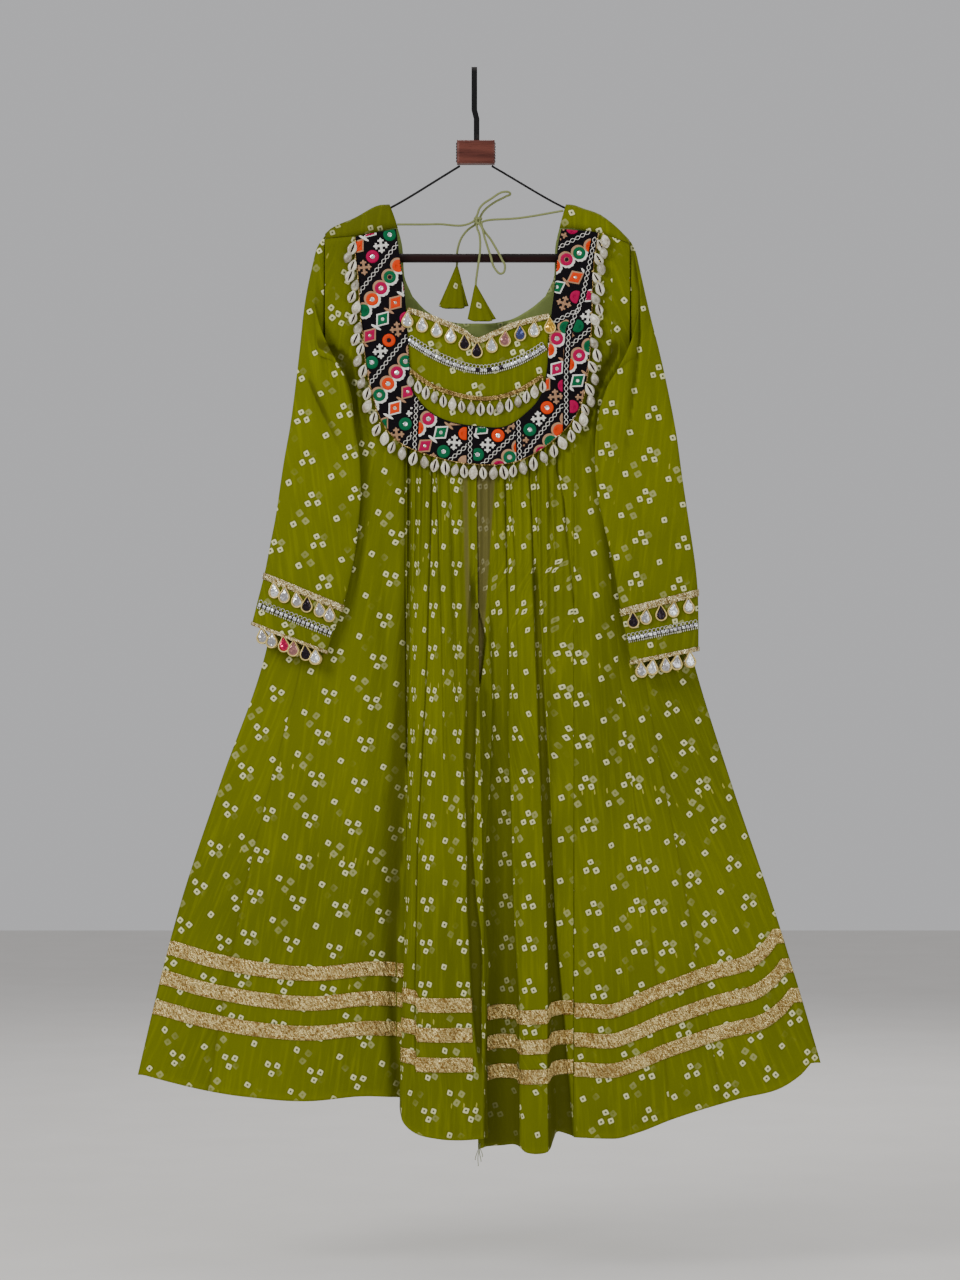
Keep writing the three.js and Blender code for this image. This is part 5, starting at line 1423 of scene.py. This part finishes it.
def strip_parts(line, width, lift, thick, index, rows=5, crush=0.0):
    """A strip on the front along a line of (x, z) places."""
    way = unit(np.gradient(line, axis=0))
    normal = np.stack([way[:, 1], -way[:, 0]], -1)
    offsets = np.linspace(-0.5, 0.5, rows) * width
    spots = line[None] + normal[None] * offsets[:, None, None]
    base = front(spots[..., 0], spots[..., 1])
    j, i = np.meshgrid(np.arange(rows), np.arange(len(line)), indexing="ij")
    wave = crush * (np.sin(i * 2.1 + j * 1.7) + np.sin(i * 1.37 - j * 2.3)) / 2
    crown = 1 - (2 * offsets[:, None] / width) ** 4
    outer = raised(base, lift + thick) + np.array([0, -1, 0]) * (wave * crown)[..., None]
    inner = raised(base, lift)
    count = rows * len(line)
    a = j[:-1, :-1] * len(line) + i[:-1, :-1]
    b, c, d = a + len(line), a + len(line) + 1, a + 1
    faces = np.concatenate([
        np.stack([a, b, c, d], -1).reshape(-1, 4),
        np.stack([a, d, c, b], -1).reshape(-1, 4) + count]).tolist()
    last = (rows - 1) * len(line)
    for k in range(len(line) - 1):
        faces.append([k, k + 1, k + 1 + count, k + count])
        faces.append([last + k + 1, last + k, last + k + count, last + k + 1 + count])
    for row in range(rows - 1):
        p, q = row * len(line), (row + 1) * len(line)
        faces.append([q, p, p + count, q + count])
        p, q = p + len(line) - 1, q + len(line) - 1
        faces.append([p, q, q + count, p + count])
    return (np.concatenate([outer.reshape(-1, 3), inner.reshape(-1, 3)]), faces, index)


# ---- The yoke: black cotton, stitched motifs, mirrors ----

def band_spot(share, across):
    x = lerp(through(BAND, share, "outerX"), through(BAND, share, "innerX"), across)
    z = lerp(through(BAND, share, "outerZ"), through(BAND, share, "innerZ"), across)
    return np.stack(np.broadcast_arrays(x, z), -1)


def band_ground():
    share, across = np.meshgrid(np.linspace(0, 1, 260), np.linspace(1, 0, 20))
    spots = band_spot(share, across)
    grid = raised(front(spots[..., 0], spots[..., 1]), LAYER + BAND_THICK)
    pucker = 0.18 * np.sin(spots[..., 0] / 3.1) * np.sin(spots[..., 1] / 3.7)
    grid[..., 1] += pucker * bump(across, 0.5, 0.5)
    made = shell("yoke_ground", grid, spots * MM, [black_finish, lining_finish], BAND_THICK)
    stand_in(made, "patchwork", "patchwork_band")


band_ground()

outline_shares = np.linspace(0, 1, 240)
BAND_OUTER = band_spot(outline_shares, 0.0)
BAND_INNER = band_spot(outline_shares, 1.0)
BAND_OUTLINE = np.concatenate([BAND_OUTER, BAND_INNER[::-1]])


def inside_outline(spots, outline):
    """Which spots of (x, z) a closed outline holds: those that it crosses an odd number of
    times on one side."""
    x, z = spots[:, :1], spots[:, 1:]
    start, end = outline, np.roll(outline, -1, axis=0)
    spans = (start[:, 1] > z) != (end[:, 1] > z)
    rise = np.where(end[:, 1] == start[:, 1], 1, end[:, 1] - start[:, 1])
    crossing = start[:, 0] + (z - start[:, 1]) / rise * (end[:, 0] - start[:, 0])
    return (spans & (x < crossing)).sum(1) % 2 == 1


def within_band(spots, margin):
    """Which spots of (x, z) lie in the band, at least a margin from its long edges."""
    spots = np.asarray(spots, float).reshape(-1, 2)
    clear = inside_outline(spots, BAND_OUTLINE)
    for edge in (BAND_OUTER, BAND_INNER):
        clear &= np.linalg.norm(spots[:, None] - edge[None], axis=-1).min(1) > margin
    return clear


LINK = {"length": 7.4, "swing": 2.4, "stitches": 6}  # of a stitched chain


def sideways(way):
    """Unit flat vectors a quarter turn from others."""
    return np.stack([-way[:, 1], way[:, 0]], -1) / np.linalg.norm(way, axis=1)[:, None]


class Embroidery:
    """Raised stitches of each colour on the band, and the mirrors that they hold."""

    def __init__(self):
        self.parts = {colour: [] for colour in threads}
        self.mirrors = []
        self.allowed = lambda spots: np.ones(len(spots), bool)

    def lifted(self, spots, height):
        points = front(spots[..., 0], spots[..., 1])
        points[..., 1] -= LAYER + BAND_THICK + height
        return points

    def pad(self, colour, outline, height, eye=0.0):
        """Satin stitches over an outline, cut off where their patch ends. An eye is left open in
        the middle for a mirror, where the patch holds all of it."""
        inside = self.allowed(outline)
        if inside.mean() < 0.25:
            return
        centre = outline.mean(0)
        around = centre + eye * 1.6 * np.array([(0, 0), (1, 0), (0, 1), (-1, 0), (0, -1)])
        whole = self.allowed(around).all()
        core = centre if whole else outline[inside].mean(0)
        way = outline - core
        low, high = np.zeros(len(outline)), np.ones(len(outline))
        for _ in range(6):
            middle = (low + high) / 2
            fits = self.allowed(core + way * middle[:, None])
            low, high = np.where(fits, middle, low), np.where(fits, high, middle)
        way = way * np.where(inside, 1.0, low)[:, None]
        reach = np.maximum(np.linalg.norm(way, axis=1), 0.01)
        rings = [(np.ones(len(reach)), -0.4), (np.ones(len(reach)), 0.25 * height),
                 (np.maximum(1 - 0.7 / reach, 0.5), 0.8 * height),
                 (np.maximum(1 - 2.2 / reach, 0.3), height)]
        if eye and whole:
            rings += [(1.25 * eye / reach, 1.1 * height), (0.98 * eye / reach, 0.2),
                      (0.02 * eye / reach, 0.2)]
            self.mirrors.append((centre, eye))
        else:
            rings.append((np.full(len(reach), 0.02), height))
        twist = 1 + 0.13 * (-1.0) ** np.arange(len(reach))
        points = np.concatenate([
            self.lifted(core + way * share[:, None], level * twist if level > 0.3 else level)
            for share, level in rings])
        self.parts[colour].append((points, ring_faces(len(rings), len(reach)), 0))

    def strand(self, colour, spots, half=0.5, height=0.7):
        """Stitches end to end along a line of spots, each a small swollen bar."""
        start, end = spots[:-1], spots[1:]
        kept = self.allowed((start + end) / 2)
        start, end = start[kept], end[kept]
        if not len(start):
            return
        way = end - start
        side = sideways(way)
        sections = [(-0.08, 0.4, 0.3), (0.2, 1.0, 1.0), (0.8, 1.0, 1.0), (1.08, 0.4, 0.3)]
        corners = []
        for share, wide, high in sections:
            for across, up in ((-1, 0), (0, -0.4), (1, 0), (0, 1)):
                corners.append(self.lifted(start + way * share + side * across * wide * half,
                                           height * up * (high if up > 0 else 1)))
        firsts = np.arange(len(start))[:, None, None] * 16
        faces = (np.array(ring_faces(4, 4, flip=True))[None] + firsts).reshape(-1, 4).tolist()
        self.parts[colour].append((np.stack(corners, 1).reshape(-1, 3), faces, 0))

    def chain(self, line, colour="white"):
        """Two strands that cross each other again and again along a line."""
        line = np.asarray(line, float)
        steps = max(1, round(run_along(line)[-1] / LINK["length"])) * LINK["stitches"]
        spots = evenly(line, steps + 1)
        swing = LINK["swing"] * np.sin(math.pi * np.arange(steps + 1) / LINK["stitches"])[:, None]
        side = sideways(np.gradient(spots, axis=0))
        self.strand(colour, spots + side * swing)
        self.strand(colour, spots - side * swing)


def turned(points, centre, turn):
    """Flat points about the origin, turned and moved to a centre."""
    c, s = math.cos(turn), math.sin(turn)
    x, z = np.asarray(points, float).T
    return np.stack([c * x - s * z, s * x + c * z], -1) + centre


def round_outline(radius, steps=36, scallop=0.0, squash=1.0):
    angle = circle(steps)
    reach = radius + scallop * np.abs(np.sin(6 * angle))
    return np.stack([reach * np.cos(angle), squash * reach * np.sin(angle)], -1)


def straight_outline(corners, steps=6):
    """A closed outline through corners, with even points along each side."""
    corners = np.asarray(corners, float)
    after = np.roll(corners, -1, axis=0)
    shares = np.arange(steps)[:, None] / steps
    return np.concatenate([a + (b - a) * shares for a, b in zip(corners, after)])


def shisha(work, centre, colour, halo):
    """A ring of satin stitches around a mirror, with a beige and a white crescent behind it."""
    if halo:
        work.pad("white", turned(round_outline(9.6, 48, 0.9), centre + (1.2, -1.2), 0), 0.35)
        work.pad("beige", turned(round_outline(9.7), centre + (-1.3, 1.1), 0), 0.5)
    work.pad(colour, turned(round_outline(8.6), centre, 0), 0.95, 3.1)


def diamond(work, centre, colour, edge, turn):
    """A lozenge of satin stitches inside a paler one, with a small mirror."""
    for tone, along, across, height, eye in ((edge, 13.4, 10.4, 0.6, 0),
                                             (colour, 11.2, 8.4, 0.95, 2)):
        corners = [(along, 0), (0, across), (-along, 0), (0, -across)]
        work.pad(tone, turned(straight_outline(corners), centre, turn), height, eye)


def cross(work, centre, colour, turn):
    """A cross of four arms, each with a bar across it near its tip."""
    arm = [(10.6, 0), (8.6, 1.6), (-8.6, 1.6), (-10.6, 0), (-8.6, -1.6), (8.6, -1.6)]
    bar = [(7.8, -4), (7.8, 4), (5.4, 4), (5.4, -4)]
    for corners, height, quarters in ((arm, 0.7, 2), (bar, 0.6, 4)):
        for quarter in range(quarters):
            outline = turned(straight_outline(corners, 4), centre, turn + quarter * math.pi / 2)
            work.pad(colour, outline, height)


def beyond(border, spots):
    """How far spots of (x, z) lie past a border, to its right or, past a level one, under it."""
    line = np.asarray(BORDERS[border], float)
    if border == "level":
        return np.interp(spots[:, 0], line[:, 0], line[:, 1]) - spots[:, 1]
    return spots[:, 0] - np.interp(-spots[:, 1], -line[:, 1], line[:, 0])


# The chains between the patches of the band, through places of (x, z).
BORDERS = {
    "first": [(-76, -436), (-79, -509)],
    "second": [(-5, -472), (-6, -524)],
    "third": [(58, -466), (60, -519)],
    "right": [(159, -225), (142, -307), (125, -346), (121, -399), (121, -473)],
    "level": [(99, -340), (140, -319)],
}
# Each patch: the borders that it lies past, those that it lies before, the turn of its rows of
# motifs and the space between their chains, a place on a chain, and where the rows start.
PATCHES = [
    ((), ("first",), 52, 85, (-130.8, -271.3), (7, -15, -41)),
    (("first",), ("second",), 40, 77, (-22.8, -511), (1, 2, 7)),
    (("second",), ("third",), 43, 77, (35.2, -501.8), (-1, -1, -11)),
    (("third",), ("right", "level"), 27, 84, (126, -231), (4, -15, -44)),
    (("third", "level"), ("right",), 52, 77, (89.8, -480), (-5, 21, 9)),
    (("right",), (), 40, 77, (142.6, -354.3), (-2, -16, 21)),
]
ROWS = {"circles": (0.225, 18.7), "diamonds": (0.54, 27.5), "crosses": (0.82, 36.8)}
COLOURS = ["emerald", "orange", "magenta"]


REACH = 260  # how far rows of motifs run to both sides of a patch's origin


def patch_motifs(work, turn, period, origin, starts):
    """Rows of motifs side by side: a chain, circles, lozenges, and crosses among circles."""
    way = np.array([math.cos(turn), math.sin(turn)])
    over = np.array([way[1], -way[0]])
    for band in range(-4, 4):
        base = np.asarray(origin, float) + over * period * band
        if work.allowed(base + way * np.arange(-REACH, REACH, 4)[:, None]).any():
            work.chain([base - way * REACH, base + way * REACH])
        for (name, (down, pitch)), begin in zip(ROWS.items(), starts):
            line = base + over * period * down
            for k in range(math.ceil((-REACH - begin) / pitch), int((REACH - begin) / pitch)):
                spot = line + way * (begin + pitch * k)
                near = spot + 12 * np.array([(0, 0), (1, 0), (-1, 0), (0, 1), (0, -1)])
                if not work.allowed(near).any():
                    continue
                colours = [COLOURS[(k + band + step) % 3] for step in range(3)]
                pale = "white" if (k + band) % 2 else "beige"
                if name == "circles":
                    shisha(work, spot, colours[0], True)
                elif name == "diamonds":
                    diamond(work, spot, colours[1], pale, turn)
                    leaf = turned(round_outline(7.6, 18, 0, 0.24), spot + way * pitch / 2,
                                  turn + math.pi / 2 + 0.15)
                    work.pad("white" if pale == "beige" else "beige", leaf, 0.6)
                else:
                    cross(work, spot, pale, turn + 0.78)
                    shisha(work, spot + way * pitch / 2, colours[2], False)


# How far motifs stay from the band's edges and from the chains, and chains from the edges.
CLEAR = {"edge": 1.3, "chain": 4.6, "chain_edge": 1.0}


def yoke_embroidery():
    work = Embroidery()
    for past, before, turn, period, origin, starts in PATCHES:
        def allowed(spots, past=past, before=before):
            kept = within_band(spots, CLEAR["edge"])
            for border in past:
                kept &= beyond(border, spots) > CLEAR["chain"]
            for border in before:
                kept &= beyond(border, spots) < -CLEAR["chain"]
            return kept

        work.allowed = allowed
        patch_motifs(work, math.radians(turn), period, origin, starts)

    work.allowed = lambda spots: within_band(spots, CLEAR["chain_edge"])
    for line in BORDERS.values():
        work.chain(line)
    for colour, parts in work.parts.items():
        joined(f"yoke_stitches_{colour}", parts, [threads[colour]], "patchwork")
    yoke_mirrors(work.mirrors)


def yoke_mirrors(kept):
    parts = []
    for k, (centre, radius) in enumerate(kept):
        profile = [(radius, 0.0), (radius, 0.25), (radius * 0.9, 0.4), (radius * 0.02, 0.45)]
        points, faces = spun(profile, 14)
        x, y, z = points.T
        lift = LAYER + BAND_THICK + 0.15
        base = front(centre[0] + x, centre[1] + y)
        flat = np.stack([base[:, 0], base[:, 1] - lift - z, base[:, 2]], -1)
        parts.append((flat, faces, int((k * 7) % 5 == 3)))
    joined("yoke_mirrors", parts, [mirror_finishes["bright"], mirror_finishes["dark"]],
           "mirror_trim")


yoke_embroidery()


# ---- Cowries ----

def band_rim(share, out):
    """A place out from the band's outer edge, with the way that points out of the U."""
    here = band_spot(share, 0.0)
    before, after = (band_spot(min(1, max(0, share + s)), 0.0) for s in (-0.01, 0.01))
    along = (after - before) / np.linalg.norm(after - before)
    way = np.array([along[1], -along[0]])
    return here + way * out, way


def shell_parts(size, centre, turn, number):
    """A shell, its slit or the ring on its back, and the bead that it hangs by."""
    faces_front = number % 7 in (0, 2, 3, 5)
    lean = 0.3 * math.sin(2.7 * number + 0.6)
    scale = 1 - 0.06 * ((number * 5) % 3)
    tone = 0 if faces_front or number % 3 == 0 else 1
    place = (centre, turn, lean, scale)
    parts = [part(cowrie_form(size, faces_front), tone, *place),
             part(slit_form(size, faces_front), 2, *place)]
    if not faces_front:
        angle = circle(18)
        across, along = 0.27 * np.cos(angle), 0.05 + 0.25 * np.sin(angle)
        width = cowrie_width(along + 0.5)
        depth = -0.47 * size["thick"] * width * np.sqrt(1 - (2 * across / width) ** 2)
        line = np.stack([across * size["width"], depth, -along * size["height"]], -1)
        parts.append(part(ring_mesh(line, 0.3, 5), 1 - tone, *place))
    bead = bead_form(1.25)
    top = placed(np.array([[0, 0, size["height"] / 2 + 0.6]]), centre, turn)[0]
    parts.append((bead[0] + top, bead[1], 3))
    return parts


SHELL_MATERIALS = shell_finishes + [slit_shade_finish, gold_finish, braid_finish]
OUTER_SHELLS, NECK_SHELLS = 58, 16


def outer_shells():
    parts = []
    for k in range(OUTER_SHELLS):
        share = lerp(0.02, 0.98, k / (OUTER_SHELLS - 1))
        _, way = band_rim(share, 0)
        below = max(0.0, -way[1])
        zigzag = (1 if k % 2 else -1) * (1 - below)
        spot, _ = band_rim(share, lerp(6.0, 10.4, below) + 2.8 * zigzag)
        z = spot[1] - 6 * (1 - below)
        base = front(spot[0], z)
        layered = 0.9 * (k % 2) * (1 - below)
        centre = base - (0, SHELL["lift"] + SHELL["thick"] / 2 + layered, 0)
        turn = math.atan2(-way[0] * 0.4, 1) + 0.16 * math.sin(3.1 * k)
        parts += shell_parts(SHELL, centre, turn, k)
    line = np.array([band_rim(share, -0.3)[0] for share in np.linspace(0.004, 0.996, 220)])
    parts.append(strip_parts(line, 1.3, LAYER + BAND_THICK - 0.6, 1.0, 4, 3, 0.25))
    joined("outer_cowries", parts, SHELL_MATERIALS, "cowrie", "shell_trim_outer")


outer_shells()


def neck_shells():
    parts = [strip_parts(places_along(SHELL_ROW, 110), 5.6, LAYER, 1.8, 4, 7, 0.7)]
    for k, (x, z) in enumerate(places_along(SHELL_ROW, NECK_SHELLS)):
        base = front(x, z)
        centre = base - (0, 0.4 + SMALL_SHELL["thick"] / 2, 0)
        centre = centre + (0, 0, -SMALL_SHELL["height"] / 2 - 5)
        parts += shell_parts(SMALL_SHELL, centre, 0.07 * math.sin(4 * k), k + 1)
    joined("neck_cowries", parts, SHELL_MATERIALS, "cowrie", "neck_shell_trim")


neck_shells()


# ---- Mirror drops and chains ----

DROP_TINTS = ["bright", "pale", "dark", "rose", "red", "blue", "amber"]
DROP_MATERIALS = [mirror_finishes[tint] for tint in DROP_TINTS] + [gold_finish, tape_finish]
RIM_INDEX, TAPE_INDEX = len(DROP_TINTS), len(DROP_TINTS) + 1
NECK_TINTS = ["bright", "bright", "bright", "bright", "dark", "dark", "bright", "rose", "blue",
              "bright", "amber"]


def neck_drops():
    parts = [strip_parts(places_along(DROP_ROW, 120), TAPE - 0.5, LAYER, 1.2, TAPE_INDEX, 5, 0.15)]
    last = len(NECK_TINTS) - 1
    for k, (x, z) in enumerate(places_along(DROP_ROW, last + 1)):
        over_band = BAND_THICK if k in (0, last) else 0
        centre = front(x, z - 1.5) - (0, LAYER + over_band, 0)
        tint = DROP_TINTS.index(NECK_TINTS[k])
        parts += drop_parts(centre, 0.05 * math.sin(3 * k), 0.0, tint)
    joined("neck_mirror_drops", parts, DROP_MATERIALS, "mirror_trim", "neck_drop_trim")


neck_drops()


SQUARE = ((-1, -1), (1, -1), (1, 1), (-1, 1))


def stone_form(size):
    """A square cut stone with a table and four bevels."""
    half, top = size / 2, size * 0.3
    rows = [(half, 0), (half, -0.5), (top, -1.5)]
    points = np.array([(x * s, y, z * s) for s, y in rows for x, z in SQUARE], float)
    return points, ring_faces(len(rows), len(SQUARE))


CHAIN_MATERIALS = [mirror_finishes["bright"], mirror_finishes["pale"], mirror_finishes["dark"],
                   silver_finish, pewter_finish]
STONE_TINTS = (0, 1, 0, 0, 2, 0, 1, 0, 0, 1, 0)
NECK_STONES, CUFF_STONES = 38, 17


def chain_parts(line, lifts, slopes):
    """A mirror chain along a line of points on the cloth: stones, loops over them, beads below.
    lifts move each point out of the cloth and slopes turn each piece about z."""
    parts = []
    way = np.gradient(line, axis=0)
    bezel = np.array([(2.6 * x, 0, 2.6 * z) for x, z in SQUARE])
    angle = circle(12)
    loop = np.stack([2.5 * np.cos(angle), 0 * angle, 2.3 * np.sin(angle)], -1)
    for k in range(len(line)):
        turn = -math.atan2(way[k][2], math.hypot(way[k][0], way[k][1]) * np.sign(way[k][0]))
        up = np.array([math.sin(turn), 0, math.cos(turn)])
        centre = line[k] + (0, lifts[k], 0)
        tint = STONE_TINTS[(7 * k + k // 5) % len(STONE_TINTS)]
        parts += [part(stone_form(4.9), tint, centre, turn, slopes[k] + 0.1 * math.sin(7 * k)),
                  part(ring_mesh(bezel, 0.5, 4), 4, centre, turn, slopes[k]),
                  part(ring_mesh(loop, 0.42, 5), 3, centre + up * 4.6, turn, slopes[k])]
        for step in (-1.3, 1.3):
            bead = bead_form(0.8, 6, 4)
            across = np.array([math.cos(turn) * math.cos(slopes[k]),
                               math.sin(slopes[k]), -math.sin(turn)])
            parts.append((bead[0] * (1, 1, 1.9) + centre - up * 4.3 + across * step, bead[1], 3))
    return parts


def neck_chain():
    line = front(*places_along(MIRROR_ROW, NECK_STONES).T)
    parts = chain_parts(line, np.full(NECK_STONES, -LAYER - 0.4), np.zeros(NECK_STONES))
    parts.append(strip_parts(places_along(MIRROR_ROW, 90), 6.0, LAYER - 0.4, 0.7, 4, 3))
    joined("neck_chain", parts, CHAIN_MATERIALS, "mirror_trim", "neck_mirror_chain")


neck_chain()

CUFF_TINTS = {
    "left": {"upper": ["bright", "pale", "pale", "dark", "pale", "pale"],
             "lower": ["pale", "pale", "red", "rose", "dark", "bright"]},
    "right": {"upper": ["dark", "pale", "dark", "bright", "pale"],
              "lower": ["pale", "bright", "pale", "pale", "bright"]},
}


def cuff_tape(side, source, row):
    """A cuff's gold tape with its mirror drops, on the front and on the back of the sleeve."""
    first, last = CUFF[row]
    tints = CUFF_TINTS[side][row]
    ring = 120
    grid, _ = sleeve_grid(source, [], np.linspace(first, last, 5), ring)
    i = np.arange(ring)
    outer = raised(grid, 0.3 + 1.2, ring=True)
    crush = 0.1 * np.sin(i * 2.3) + 0.1 * np.sin(i * 3.7 + 1)
    outer[1:-1] -= normals_of(grid, True)[1:-1] * crush[None, :, None]
    uv = np.zeros((5, ring + 1, 2))
    tape = shell(f"cuff_tape_{row}_{side}", outer, uv, [tape_finish], 1.1, ring=True)
    stand_in(tape, "mirror_trim")
    parts = []
    for k in range(len(tints)):
        across = lerp(0.14, 0.86, k / (len(tints) - 1))
        for face in (-1, 1):
            def point_at(value, face=face):
                turn = math.acos(1 - 2 * value) / (2 * math.pi)
                return sleeve_point(source, last, turn if face < 0 else 1 - turn)
            place = point_at(across) + (0, -1.2 if face < 0 else 1.2 + DROP["thick"], 2.5)
            slope = point_at(across + 0.07) - point_at(across - 0.07)
            tint = DROP_TINTS.index(tints[k])
            lean = math.atan2(slope[1], slope[0])
            if face > 0:
                place = place - (0, DROP["thick"], 0)
                lean += math.pi
            parts += drop_parts(place, 0.08 * math.sin(3 * k + face), lean, tint)
    joined(f"cuff_mirrors_{row}_{side}", parts, DROP_MATERIALS, "mirror_trim",
           f"cuff_drops_{row}_{side}")


def cuff_chain(side, source):
    station = sum(CUFF["chain"]) / 2
    parts = []
    for face in (-1, 1):
        across = np.linspace(0.04, 0.96, CUFF_STONES)
        turn = np.arccos(1 - 2 * across) / (2 * math.pi)
        turn = turn if face < 0 else 1 - turn
        line = sleeve_point(source, np.full(CUFF_STONES, station), turn)
        if face > 0:
            line = line[::-1]
        way = np.gradient(line, axis=0)
        slopes = np.arctan2(way[:, 1], way[:, 0])
        parts += chain_parts(line, np.full(CUFF_STONES, face * 0.9), slopes)
    joined(f"cuff_mirror_chain_{side}", parts, CHAIN_MATERIALS, "mirror_trim",
           f"cuff_chain_{side}")


for side_name, sleeve_table in (("left", LEFT_SLEEVE), ("right", RIGHT_SLEEVE)):
    cuff_tape(side_name, sleeve_table, "upper")
    cuff_tape(side_name, sleeve_table, "lower")
    cuff_chain(side_name, sleeve_table)


# ---- The hanger ----

def block_winding():
    """The wound wire that shows at both sides of the hanger's block."""
    parts = []
    for side, edge in ((-1, BLOCK["left"]), (1, BLOCK["right"])):
        for z in np.linspace(BLOCK["bottom"] + 4, BLOCK["top"] - 4, BLOCK["turns"]):
            points, faces = bead_form(1.7, 10, 7)
            points = points * (1, BLOCK["deep"] / 3.4, 1) + (edge - 0.3 * side, 0, z)
            parts.append((points, faces, 0))
    joined("hanger_block_winding", parts, [metal_finish], "black_metal")


block_winding()


def frayed_corner():
    """Loose threads at the corner of the hem by the front opening."""
    parts = []
    for k, (lean, length) in enumerate(FRAYED):
        t = np.linspace(0, 1, 14)
        x = 5.5 + 0.8 * k + lean * t ** 1.5 + 0.8 * np.sin(6 * t + k)
        z = -1416 - length * t
        y = front(5.5, -1400)[1] - 5 - 0.5 * np.sin(4 * t + 2 * k)
        points, faces = tube_mesh(np.stack([x, y, z], -1), 0.5, 5)
        parts.append((points, faces, 0))
    joined("hem_frayed_threads", parts, [dori_finish], "bandhani_georgette")


frayed_corner()

NODE_FINISHES = {
    "hanger_hook": metal_finish, "hanger_wire_left": metal_finish,
    "hanger_wire_right": metal_finish, "hanger_block": walnut_finish, "hanger_rod": rod_finish,
}
for node_name, finish in NODE_FINISHES.items():
    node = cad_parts[node_name]
    node.data.materials.clear()
    node.data.materials.append(finish)

# ---- Floor, light and world ----

bpy.ops.mesh.primitive_plane_add(size=FLOOR_SIZE, location=(0, 0, FLOOR_Z))
floor = bpy.context.object
floor.name = "floor"
floor.data.materials.append(floor_finish.material)

LIT_PLACE = (0, 0, -0.75)  # where every lamp points
LIGHTS = [  # name, place, size in metres, power in watts
    ("key", (-2.2, -2.3, 0.9), 1.3, 63), ("fill", (2.4, -2.8, -0.4), 2.6, 35),
    ("rim", (0.6, 2.4, 0.9), 2.0, 40), ("top", (0.0, -0.6, 1.7), 1.6, 12),
]
for light_name, location, size, power in LIGHTS:
    data = bpy.data.lights.new(light_name, "AREA")
    data.size = size
    data.energy = power
    lamp = bpy.data.objects.new(light_name, data)
    lamp.location = location
    way_in = Vector(LIT_PLACE) - Vector(location)
    lamp.rotation_euler = way_in.to_track_quat("-Z", "Y").to_euler()
    bpy.context.scene.collection.objects.link(lamp)

world = bpy.data.worlds.new("studio")
world.use_nodes = True
for input_name, value in (("Color", (0.80, 0.80, 0.82, 1)), ("Strength", 0.62)):
    world.node_tree.nodes["Background"].inputs[input_name].default_value = value
bpy.context.scene.world = world
